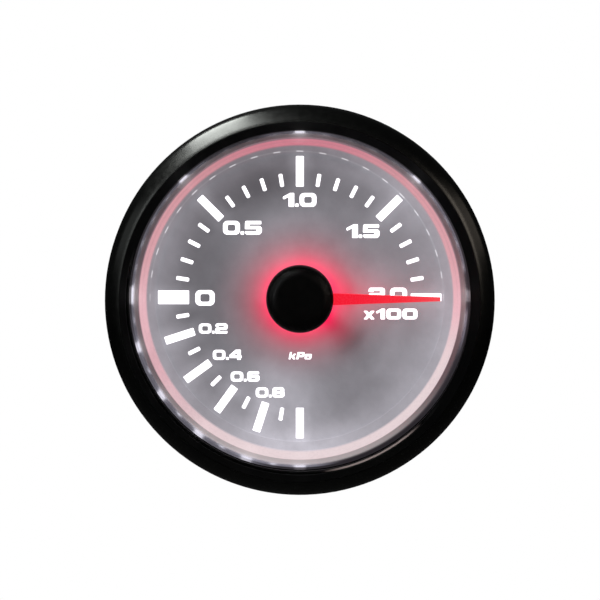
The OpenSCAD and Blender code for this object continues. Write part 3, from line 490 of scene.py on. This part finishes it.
def wound_wire():
    """Enamelled wire, one turn beside the next along the coil."""
    t = Tree("wound_wire")
    wire = 0.16
    turns = t.math("SINE", t.mul(t.z, TURN / wire))
    # painted shade: each turn is darker in the gaps beside it and paler on its crown
    t.surface(
        Base_Color=t.mix(t.step(turns, -1, 0.6), (0.16, 0.045, 0.015), (0.62, 0.24, 0.10)),
        Metallic=1.0,
        Roughness=t.spread(t.noise(3, 3), 0.22, 0.35),
        Normal=t.bump(turns, 0.8, 0.04))
    return t.mat


def lamp(name, count, ring_r, shell, glow, dot):
    """The bodies of a ring of lamps, with a glowing window in the middle of each one."""
    t = Tree(name)
    off = t.mul(t.off_nearest(360 / count), TURN / count)
    r = t.radius()
    side = t.mul(t.math("SINE", off), r)
    out = t.sub(t.mul(t.math("COSINE", off), r), ring_r)
    window = t.step(t.length(side, out), dot * 0.85, dot, 1, 0)
    t.surface(
        Base_Color=t.mix(window, shell, glow),
        Roughness=t.step(window, 0, 1, 0.5, 0.2),
        Normal=t.bump(window, 0.4, 0.05),
        Emission_Color=glow,
        Emission_Strength=t.mul(window, 0.6))
    return t.mat


def chip_case():
    """Moulded black package, whose legs are tinned where they reach the board."""
    t = Tree("chip_case")
    leg = t.step(t.depth, 9.20, 9.30)
    t.surface(
        Base_Color=t.mix(leg, (0.012, 0.012, 0.013), (0.5, 0.5, 0.49)),
        Metallic=t.mul(leg, 0.9),
        Roughness=t.spread(t.noise(5, 3), 0.42, 0.55),
        Normal=t.bump(t.noise(12, 4), 0.3, 0.015))
    return t.mat


def capacitor_can():
    """Brushed aluminium can with a dark half-moon on top and a black base."""
    t = Tree("capacitor_can")
    marks = t.noise(5, 3, (1, 12, 1))
    top = t.step(t.depth, 4.38, 4.42, 1, 0)
    half_moon = t.mul(top, t.step(t.x, 18.2, 18.3))
    base = t.step(t.depth, 8.85, 8.95)
    dark = t.math("MAXIMUM", half_moon, base)
    t.surface(
        Base_Color=t.mix(dark, (0.66, 0.66, 0.67), (0.015, 0.015, 0.016)),
        Metallic=t.sub(1.0, dark),
        Roughness=t.spread(marks, 0.24, 0.38),
        Normal=t.bump(marks, 0.2, 0.01))
    return t.mat


def laminated_steel():
    """Stator stamped from sheets, whose edges show as fine lines."""
    t = Tree("laminated_steel")
    sheet_t = 0.34
    sheets = t.math("SINE", t.mul(t.depth, TURN / sheet_t))
    t.surface(
        Base_Color=t.mix(t.step(sheets, -1, 0), (0.12, 0.12, 0.13), (0.42, 0.42, 0.43)),
        Metallic=1.0,
        Roughness=t.spread(t.noise(2.5, 3), 0.3, 0.45),
        Normal=t.bump(sheets, 0.5, 0.03))
    return t.mat


white_mark = lit_print()
materials = {
    "bezel": bezel_paint(),
    "lens_seal": moulded(
        "seal_rubber", (0.010, 0.010, 0.010), (0.016, 0.016, 0.016), 0.75, 5, 0.02),
    "lens": smoked_lens(),
    "trim_ring": trim_coating(),
    "halo_ring": frosted_halo(),
    "dial_face": dial_sheet(),
    "light_guide": moulded(
        "guide_acrylic", (0.78, 0.80, 0.80), (0.86, 0.87, 0.87), 0.18, 3, 0.01, 0.1,
        Coat_Weight=0.5),
    "reflector": moulded("reflector_white", (0.80, 0.80, 0.78), (0.86, 0.86, 0.85), 0.5, 10),
    "pointer_light_pipe": moulded(
        "pipe_red", (0.45, 0.01, 0.02), (0.6, 0.02, 0.03), 0.15, 4, 0.01, 0.1, Coat_Weight=0.5),
    "pointer_blade": lit_pointer(),
    "pointer_cap": cap_paint(),
    "pointer_bush": metal("bush_brass", (0.62, 0.42, 0.16), (0.74, 0.53, 0.24), 0.24, (1, 8, 1)),
    "pointer_shaft": metal(
        "shaft_ground", (0.52, 0.52, 0.54), (0.64, 0.64, 0.66), 0.16, (1, 10, 1)),
    "output_wheel": moulded("wheel_acetal", (0.72, 0.71, 0.66), (0.80, 0.79, 0.74), 0.36, 6, 0.01),
    "motor_case_front": moulded("case_black", (0.012, 0.012, 0.013), (0.02, 0.02, 0.021), 0.5, 8),
    "motor_case_back": moulded("case_white", (0.66, 0.66, 0.63), (0.74, 0.74, 0.72), 0.48, 8),
    "motor_stator": laminated_steel(),
    "coil_bobbins": moulded("bobbin_nylon", (0.55, 0.53, 0.47), (0.64, 0.62, 0.56), 0.42, 7),
    "coil_windings": wound_wire(),
    "rotor_magnet": moulded(
        "ferrite", (0.035, 0.034, 0.036), (0.06, 0.058, 0.06), 0.42, 7, 0.02, Metallic=0.5),
    "rotor_pinion": moulded(
        "pinion_acetal", (0.70, 0.69, 0.64), (0.78, 0.77, 0.72), 0.34, 6, 0.01),
    "idler_gear": moulded("idler_acetal", (0.70, 0.70, 0.66), (0.79, 0.79, 0.75), 0.36, 6, 0.01),
    "idler_pin": metal("pin_steel", (0.50, 0.50, 0.52), (0.62, 0.62, 0.64), 0.18, (1, 10, 1)),
    "motor_terminals": metal(
        "terminal_tin", (0.60, 0.60, 0.58), (0.72, 0.72, 0.70), 0.3, (1, 6, 1)),
    "main_board": board_mask("main_mask"),
    "white_leds": lamp("lamp_white", 12, 8.2, (0.75, 0.75, 0.72), (0.95, 0.78, 0.32), 1.05),
    "red_leds": lamp("lamp_red", 3, 3.0, (0.7, 0.7, 0.68), (0.9, 0.03, 0.04), 0.34),
    "controller_chip": chip_case(),
    "capacitors": capacitor_can(),
    "board_screws": metal("board_screw_steel", (0.50, 0.50, 0.51), (0.66, 0.66, 0.66), 0.28),
    "link_socket": moulded("link_black", (0.014, 0.014, 0.015), (0.022, 0.022, 0.023), 0.5, 9),
    "link_header": moulded("header_black", (0.014, 0.014, 0.015), (0.024, 0.024, 0.025), 0.46, 9),
    "link_pins": metal("pin_gold", (0.74, 0.52, 0.20), (0.86, 0.64, 0.30), 0.24, (1, 5, 1)),
    "connector_board": board_mask("connector_mask"),
    "connector_board_screws": metal(
        "back_screw_steel", (0.50, 0.50, 0.51), (0.66, 0.66, 0.66), 0.28),
    "power_socket": moulded(
        "socket_black", (0.016, 0.016, 0.017), (0.028, 0.028, 0.029), 0.48, 8, 0.03),
    "sensor_socket": moulded(
        "socket_natural", (0.68, 0.66, 0.58), (0.76, 0.74, 0.67), 0.42, 8, 0.03),
    "socket_pins": metal("pins_tinned", (0.62, 0.62, 0.60), (0.76, 0.76, 0.74), 0.26, (1, 5, 1)),
    "body_shell": moulded(
        "body_plastic", (0.012, 0.012, 0.013), (0.020, 0.020, 0.021), 0.47, 6, 0.05, 0.6),
    "rear_cover": moulded(
        "cover_plastic", (0.014, 0.014, 0.015), (0.022, 0.022, 0.023), 0.5, 6, 0.05, 0.6),
    "rear_cover_screws": metal("cover_screw_steel", (0.46, 0.46, 0.47), (0.64, 0.64, 0.64), 0.27),
    "mounting_studs": metal(
        "stud_zinc", (0.52, 0.53, 0.55), (0.70, 0.70, 0.70), 0.3, (1, 1, 1), 4, 0.015),
}
for name, surface in materials.items():
    mesh = nodes[name].data
    if not mesh.materials:
        mesh.materials.append(surface)
    for index in range(len(mesh.materials)):
        mesh.materials[index] = surface


# Dial print. Its outlines are in pixels of the photo

def filleted(outline, radii):
    """The outline's points with each corner rounded by its own radius, or less where it must."""
    sharp = 0.01
    points = []
    for i, (corner, radius) in enumerate(zip(outline, radii)):
        here = Vector(corner)
        back = Vector(outline[i - 1]) - here
        ahead = Vector(outline[(i + 1) % len(outline)]) - here
        half = math.tan(back.angle(ahead) / 2)
        shorter = min(back.length, ahead.length)
        if radius < sharp or radius / half > 0.99 * shorter:
            radius = min(radius, 0.45 * shorter * half)
        if radius < sharp:
            points.append(here)
            continue
        back.normalize()
        ahead.normalize()
        reach = radius / half
        middle = here + (back + ahead).normalized() * math.hypot(radius, reach)
        a, b = here + back * reach - middle, here + ahead * reach - middle
        turn = a.angle_signed(b)
        steps = max(3, int(abs(turn) / 0.3))
        for k in range(steps + 1):
            s = -turn * k / steps
            points.append(middle + Vector((
                a.x * math.cos(s) - a.y * math.sin(s), a.x * math.sin(s) + a.y * math.cos(s))))
    return points


def box_loop(x0, y0, x1, y1, radius):
    return filleted([(x0, y0), (x1, y0), (x1, y1), (x0, y1)], [radius] * 4)


def zero(side, cap, round_out, round_in):
    """A 0 by the thickness of its sides and caps and the radii of its outer and inner corners."""
    def shape(w, h):
        return [box_loop(0, 0, w, h, round_out), box_loop(side, cap, w - side, h - cap, round_in)]
    return shape


lone_0 = zero(4.9, 3.8, 4.8, 2.0)
big_0 = zero(4.55, 3.7, 4.4, 1.8)
small_0 = zero(3.3, 2.55, 3.4, 1.2)
times_0 = zero(4.1, 3.0, 3.4, 1.2)


def dot(w, h):
    return [box_loop(0, 0, w, h, 0.28 * w)]


def digit_1(w, h):
    return [filleted(
        [(0.5 * w, 0), (w, 0), (w, h), (0.64 * w, h), (0, 0.72 * h), (0.02 * w, 0.50 * h),
         (0.5 * w, 0.71 * h)],
        [0.8, 0.8, 0.8, 1.2, 1.1, 1.0, 0.3])]


def digit_2(w, h):
    return [filleted(
        [(w - 0.4, 0), (w - 0.2, 0.245 * h), (0.36 * w, 0.245 * h), (0.36 * w, 0.365 * h),
         (w, 0.365 * h), (w, h), (0, h), (0, 0.69 * h), (0.30 * w, 0.69 * h), (0.30 * w, 0.76 * h),
         (0.70 * w, 0.76 * h), (0.70 * w, 0.61 * h), (0, 0.61 * h), (0, 0)],
        [0.8, 0.6, 0.4, 0.4, 2.4, 2.8, 2.6, 0.5, 0.3, 0.2, 0.5, 0.5, 2.2, 0.8])]


def digit_4(w, h):
    return [
        filleted(
            [(0.3, 0.18 * h), (0.63 * w, 0.18 * h), (0.63 * w, 0), (0.93 * w, 0),
             (0.93 * w, 0.18 * h), (w, 0.18 * h), (w, 0.42 * h), (0.93 * w, 0.42 * h),
             (0.93 * w, h), (0.52 * w, h), (0, 0.46 * h)],
            [0.7, 0.2, 0.7, 0.7, 0.2, 0.5, 0.5, 0.2, 0.9, 0.9, 0.7]),
        filleted([(0.36 * w, 0.43 * h), (0.62 * w, 0.43 * h), (0.62 * w, 0.68 * h)], [0.2] * 3)]


def digit_5(w, h):
    return [filleted(
        [(0.4, 0), (w, 0), (w, 0.63 * h), (0.27 * w, 0.63 * h), (0.27 * w, 0.75 * h),
         (w - 0.5, 0.75 * h), (w - 0.5, h), (0.3, h), (0, 0.395 * h), (0.68 * w, 0.395 * h),
         (0.68 * w, 0.25 * h), (0.1, 0.25 * h)],
        [2.4, 3.6, 3.0, 0.5, 0.5, 0.8, 1.0, 1.8, 0.8, 0.6, 0.6, 0.6])]


def digit_6(w, h):
    return [
        filleted(
            [(0, 0), (w, 0), (w, 0.64 * h), (0.32 * w, 0.64 * h), (0.32 * w, 0.72 * h),
             (w - 0.5, 0.72 * h), (w - 0.5, h), (0, h)],
            [2.8, 2.8, 2.2, 0.3, 0.3, 0.6, 1.2, 2.8]),
        box_loop(0.31 * w, 0.25 * h, 0.69 * w, 0.40 * h, 0.5)]


def digit_8(w, h):
    return [
        filleted(
            [(0, 0), (w, 0), (w, 0.47 * h), (w - 0.5, 0.52 * h), (w - 0.3, 0.57 * h), (w - 0.3, h),
             (0.3, h), (0.3, 0.57 * h), (0.5, 0.52 * h), (0, 0.47 * h)],
            [2.8, 2.8, 1.2, 0.3, 1.2, 2.6, 2.6, 1.2, 0.3, 1.2]),
        box_loop(0.32 * w, 0.24 * h, 0.68 * w, 0.38 * h, 0.5),
        box_loop(0.33 * w, 0.63 * h, 0.67 * w, 0.76 * h, 0.5)]


def letter_x(w, h):
    return [filleted(
        [(0, 0), (0.33 * w, 0), (0.5 * w, 0.27 * h), (0.67 * w, 0), (w, 0), (0.68 * w, 0.5 * h),
         (w, h), (0.67 * w, h), (0.5 * w, 0.73 * h), (0.33 * w, h), (0, h), (0.32 * w, 0.5 * h)],
        [0.5, 0.5, 0.2, 0.5, 0.5, 0.3] * 2)]


def slanted(loops):
    return [[(x + 0.2 * y, y) for x, y in loop] for loop in loops]


def letter_k(w, h):
    return slanted([filleted(
        [(0, 0), (2, 0), (2, 2.1), (3, 2.1), (4.4, 0), (w, 0), (4.8, 3.2), (6.7, 5.6), (4.2, 5.6),
         (3, 3.9), (2, 3.9), (2, h), (0, h)], [0.4] * 13)])


def letter_p(w, h):
    return slanted([
        filleted([(0, 0), (2.2, 0), (2.2, 2.2), (w, 2.2), (w, h), (0, h)],
                 [0.4, 0.4, 0.2, 1.7, 1.9, 0.4]),
        box_loop(2.4, 3.9, 5.3, 5.4, 0.4)])


def letter_a(w, h):
    return slanted([box_loop(0, 0, w, h, 1.3), box_loop(2.1, 1.4, 4.7, 3.0, 0.4)])


def label(left, bottom, shapes):
    """Shapes side by side from a pixel of the photo: each is (gap before it, shape, w, h)."""
    row = []
    at = left - PRINT_X
    for gap, shape, w, h in shapes:
        at += gap
        row.append([[(x + at, y + PRINT_Y - bottom) for x, y in loop] for loop in shape(w, h)])
        at += w
    return row


def tick(angle, outer, length, width, radius):
    """A mark that points at the middle, by its outer end's distance from it."""
    a = math.radians(angle)
    along, across = Vector((math.cos(a), math.sin(a))), Vector((-math.sin(a), math.cos(a)))
    loop = box_loop(outer - length, -width / 2, outer, width / 2, radius)
    return [[along * p.x + across * p.y for p in loop]]


def printed(name, shapes):
    """Printed marks raised on the dial. Each is an outer loop and the loops of its holes."""
    verts, faces = [], []
    for loops in shapes:
        flat = [Vector((x, y, 0)) for loop in loops for x, y in loop]
        triangles = tessellate_polygon([[Vector((x, y, 0)) for x, y in loop] for loop in loops])
        base = len(verts)
        count = len(flat)
        for depth in (DIAL_DEPTH - PRINT_T, DIAL_DEPTH + PRINT_SUNK):
            verts += [(p.x * PIXEL * MM, depth * MM, p.y * PIXEL * MM) for p in flat]
        for a, b, c in triangles:
            if (flat[b] - flat[a]).cross(flat[c] - flat[a]).z < 0:
                b, c = c, b
            faces.append((base + a, base + b, base + c))
            faces.append((base + count + a, base + count + c, base + count + b))
        start = base
        for k, loop in enumerate(loops):
            n = len(loop)
            area = sum(
                loop[i - 1][0] * loop[i][1] - loop[i][0] * loop[i - 1][1] for i in range(n))
            outward = (area > 0) == (k == 0)
            for i in range(n):
                a, b = start + i, start + (i + 1) % n
                quad = (a + count, b + count, b, a)
                faces.append(quad if outward else quad[::-1])
            start += n
    mesh = bpy.data.meshes.new(name)
    mesh.from_pydata(verts, [], faces)
    mesh.materials.append(white_mark)
    mesh.update()
    piece = placed(name, mesh)
    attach(piece, "root")


long_marks = (0, 45, 90, 135, 198, 216, 234, 252, 270)
short_marks = [a for a in range(9, 180, 9) if a % 45] + [189, 207, 225, 243, 261]
ticks = [tick(180, 141.8, 31, 13.6, 0.7)]
ticks += [tick(a, 141.5, 30.6, 7.9, 0.8) for a in long_marks]
ticks += [tick(a, 125.1, 13.0, 3.9, 1.3) for a in short_marks]
printed("dial_ticks", ticks)

numerals = label(195, 305.4, [(0, lone_0, 19.3, 15.5)])
numerals += label(222.7, 234.3, [
    (0, big_0, 16.9, 13.8), (0.6, dot, 3.6, 3.42), (0.7, digit_5, 17.0, 13.8)])
numerals += label(282.5, 206.4, [
    (0, digit_1, 11.4, 13.9), (0.9, dot, 3.5, 3.325), (0.9, big_0, 16.9, 13.8)])
numerals += label(345.9, 237.6, [
    (0, digit_1, 11.6, 13.7), (0.7, dot, 3.6, 3.42), (0.7, digit_5, 16.7, 13.7)])
numerals += label(368.2, 301.2, [
    (0, digit_2, 16.4, 13.8), (0.7, dot, 3.6, 3.42), (0.7, big_0, 17.1, 13.8)])
for left, bottom, digit in ((198.4, 333.4, digit_2), (212.4, 359.8, digit_4),
                            (230.3, 381.6, digit_6), (255.3, 397.6, digit_8)):
    numerals += label(left, bottom, [
        (0, small_0, 12.6, 10.0), (0.5, dot, 2.9, 2.755), (0.5, digit, 12.4, 10.2)])
printed("dial_numerals", numerals)

unit = label(288.2, 359.3, [
    (0, letter_k, 7, 7.2), (0.6, letter_p, 7.6, 7.2), (0.5, letter_a, 6.8, 5.4)])
times = label(363.0, 319.2, [
    (0, letter_x, 11.5, 8.6), (1.2, digit_1, 9.0, 10.8),
    (1.2, times_0, 15.0, 10.8), (1.2, times_0, 15.0, 10.8)])
printed("dial_unit_marks", unit + times)


# Studs with their thread

STUD_X = 17
STUD_SIDES = 40
HEAD_R, SHANK_R, NECK_R, TIP_R = 3.4, 2.5, 1.96, 1.3
THREAD_PITCH, THREAD_ROOT_R, THREAD_CREST_R = 0.7, 1.62, 1.99


def thread_rows(start, end):
    """Rings of the thread: each is (depth, list of radii round it)."""
    per_pitch = 8
    rows = int(round((end - start) / THREAD_PITCH * per_pitch))
    for i in range(rows + 1):
        d = start + (end - start) * i / rows
        # the thread rises from the crest's radius over one pitch and runs out before the tip
        fade = min(1, (d - start) / THREAD_PITCH, (end - d) / (0.6 * THREAD_PITCH) + 0.25)
        radii = []
        for j in range(STUD_SIDES):
            phase = (d / THREAD_PITCH - j / STUD_SIDES) % 1
            wave = 1 - abs(2 * phase - 1)
            sharp = min(max((wave - 0.12) / 0.72, 0), 1)
            rise = (THREAD_CREST_R - THREAD_ROOT_R) * (1 - (1 - sharp) * fade)
            radii.append(THREAD_ROOT_R + rise - (1 - fade) * 0.02)
        yield d, radii


def stud_mesh():
    low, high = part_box("mounting_studs")
    tip, head = high.y / MM, low.y / MM
    turned = [
        (head, 0), (head, HEAD_R - 0.15), (head + 0.15, HEAD_R), (head + 1, HEAD_R),
        (head + 1, SHANK_R), (head + 3.35, SHANK_R), (head + 3.4, SHANK_R - 0.05),
        (head + 3.4, NECK_R), (head + 3.9, NECK_R)]
    end = [(tip - 0.1, TIP_R + 0.15), (tip, TIP_R), (tip, 0)]
    rings = [(d, [r] * STUD_SIDES) for d, r in turned]
    rings += thread_rows(head + 3.95, tip - 0.4)
    rings += [(d, [r] * STUD_SIDES) for d, r in end]
    verts, faces = [], []
    for side in (-1, 1):
        base = len(verts)
        for d, radii in rings:
            for j, r in enumerate(radii):
                a = TURN * j / STUD_SIDES
                verts.append((
                    (side * STUD_X + r * math.cos(a)) * MM, d * MM, r * math.sin(a) * MM))
        for row in range(base, base + (len(rings) - 1) * STUD_SIDES, STUD_SIDES):
            for j in range(STUD_SIDES):
                k = (j + 1) % STUD_SIDES
                faces.append((row + j, row + STUD_SIDES + j, row + STUD_SIDES + k, row + k))
    mesh = bpy.data.meshes.new("threaded_studs")
    mesh.from_pydata(verts, [], faces)
    mesh.validate()
    mesh.materials.append(materials["mounting_studs"])
    mesh.shade_smooth()
    mesh.set_sharp_from_angle(angle=math.radians(32))
    piece = placed("threaded_studs", mesh)
    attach(piece, "root")
    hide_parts("mounting_studs")


stud_mesh()


# Floor and world

def pale_floor():
    """White to the camera, a plain pale surface to the light, and nearly black to mirrors."""
    t = Tree("floor_pale")
    kind = t.new("LightPath")
    pale = t.new("BsdfDiffuse")
    t.put(pale.inputs[0], t.mix(
        kind.outputs["Is Glossy Ray"], (0.8, 0.8, 0.8), (0.035, 0.035, 0.035)))
    glow = t.new("Emission")
    glow.inputs["Strength"].default_value = 0.85
    both = t.new("AddShader")
    t.put(both.inputs[0], pale.outputs[0])
    t.put(both.inputs[1], glow.outputs[0])
    seen = t.blend(kind.outputs["Is Camera Ray"], pale.outputs[0], both.outputs[0])
    # from below the floor is left out
    below = t.new("NewGeometry").outputs["Backfacing"]
    shown = t.blend(below, seen, t.new("BsdfTransparent").outputs[0])
    t.put(t.out.inputs["Surface"], shown)
    return t.mat


FLOOR_Z = -0.35
FLOOR_R = 2
FLOOR_CORNERS = 64
floor_mesh = bpy.data.meshes.new("floor")
around = [TURN * k / FLOOR_CORNERS for k in range(FLOOR_CORNERS)]
floor_mesh.from_pydata(
    [(FLOOR_R * math.cos(a), FLOOR_R * math.sin(a), FLOOR_Z) for a in around],
    [], [tuple(range(FLOOR_CORNERS))])
floor_mesh.materials.append(pale_floor())
floor = placed("floor", floor_mesh)


def studio_world():
    """White behind the object and through its glass. What it mirrors is the photo's dark room."""
    world = bpy.data.worlds.new("studio")
    world.use_nodes = True
    tree = world.node_tree
    tree.nodes.clear()

    def new(kind, *sources):
        """A node whose first inputs are linked to the first outputs of others."""
        node = tree.nodes.new("ShaderNode" + kind)
        for socket, source in zip(node.inputs, sources):
            tree.links.new(source, socket)
        return node

    shades = []
    for colour, strength in (((0.96, 0.98, 1.0), 0.012), ((1, 1, 1), 1.0)):
        shade = new("Background")
        shade.inputs["Color"].default_value = (*colour, 1)
        shade.inputs["Strength"].default_value = strength
        shades.append(shade.outputs[0])
    kind = new("LightPath").outputs
    shown = new("Math", kind["Is Camera Ray"], kind["Is Transmission Ray"])
    shown.operation = "MAXIMUM"
    sky = new("MixShader", shown.outputs[0], *shades)
    new("OutputWorld", sky.outputs[0])
    return world


scene = bpy.context.scene
scene.world = studio_world()


# Lamps

COOL = (0.96, 1.0, 0.95)
COOL_SIDE = (0.95, 1.0, 0.97)
WARM = (1.0, 0.88, 0.74)
UP = (0, 0, 1)
INTO_PANEL = (0, 1, 0)


def direction(around, off):
    """Unit vector at an angle off the driver's line of sight, towards a place on the clock face."""
    a, o = math.radians(around), math.radians(off)
    return Vector((math.sin(o) * math.cos(a), -math.cos(o), math.sin(o) * math.sin(a)))


def softbox(name, place, wide, tall, radiance, colour=(1, 1, 1), tall_along=UP):
    """A rectangular lamp that faces the gauge, with its height as near as can be to a direction."""
    data = bpy.data.lights.new(name, "AREA")
    data.shape = "RECTANGLE"
    data.size, data.size_y = wide, tall
    data.energy = radiance * math.pi * wide * tall
    data.color = colour
    light = placed(name, data)
    light.location = place
    away = place.normalized()
    height = (Vector(tall_along) - away * away.dot(Vector(tall_along))).normalized()
    light.rotation_euler = Matrix((height.cross(away), height, away)).transposed().to_euler()
    return light


# one long lamp overhead, a little to the left and in line with the gauge, and weaker ones beside
overhead = direction(117.5, 92) * 0.5 + Vector((0, -0.05, 0))
softbox("key", overhead, 0.17, 0.85, 7.6, COOL, INTO_PANEL)
softbox("left_strip", direction(163, 42) * 0.6, 0.05, 0.24, 2.7, COOL_SIDE)
softbox("left_wash", direction(162, 70) * 0.7, 0.22, 0.5, 0.22, COOL_SIDE, INTO_PANEL)
softbox("right_warm", direction(21, 47) * 0.6, 0.10, 0.22, 1.5, WARM)
softbox("right_wash", direction(21, 76) * 0.7, 0.24, 0.75, 0.38, WARM, INTO_PANEL)
rear_lamps = [
    softbox("back_left", direction(150, 140) * 0.8, 0.45, 0.45, 4.6),
    softbox("back_right", direction(20, 150) * 0.8, 0.4, 0.4, 3.6)]
# the bezel's face stays dark right up to its rim, as in the photo
spared = bpy.data.collections.new("spared_by_rear_lamps")
spared.objects.link(nodes["bezel"])
for rear_lamp in rear_lamps:
    rear_lamp.light_linking.receiver_collection = spared
spared.collection_objects[0].light_linking.link_state = "EXCLUDE"


# Camera, at the photo's angle and so far away that the front shows hardly any perspective

DISTANCE = 1.2
BEZEL_R = 0.030
# the bezel's radius and the photo's width in the photo's pixels, and the sensor's width in mm
BEZEL_R_PIXELS, PHOTO_PIXELS, SENSOR = 194.6, 600, 36
azimuth, elevation = math.radians(0.1), math.radians(4.2)
to_camera = Vector((
    math.sin(azimuth) * math.cos(elevation), -math.cos(azimuth) * math.cos(elevation),
    math.sin(elevation)))
aim = Vector((0.00003, -0.0028, -0.00005))
camera_data = bpy.data.cameras.new("camera")
camera_data.sensor_width = SENSOR
camera_data.lens = BEZEL_R_PIXELS / PHOTO_PIXELS * SENSOR / BEZEL_R * DISTANCE
camera_data.clip_end = 20
camera = placed("camera", camera_data)
camera.location = aim + to_camera * DISTANCE
camera.rotation_euler = (-to_camera).to_track_quat("-Z", "Y").to_euler()
scene.camera = camera
scene.view_settings.view_transform = "Standard"
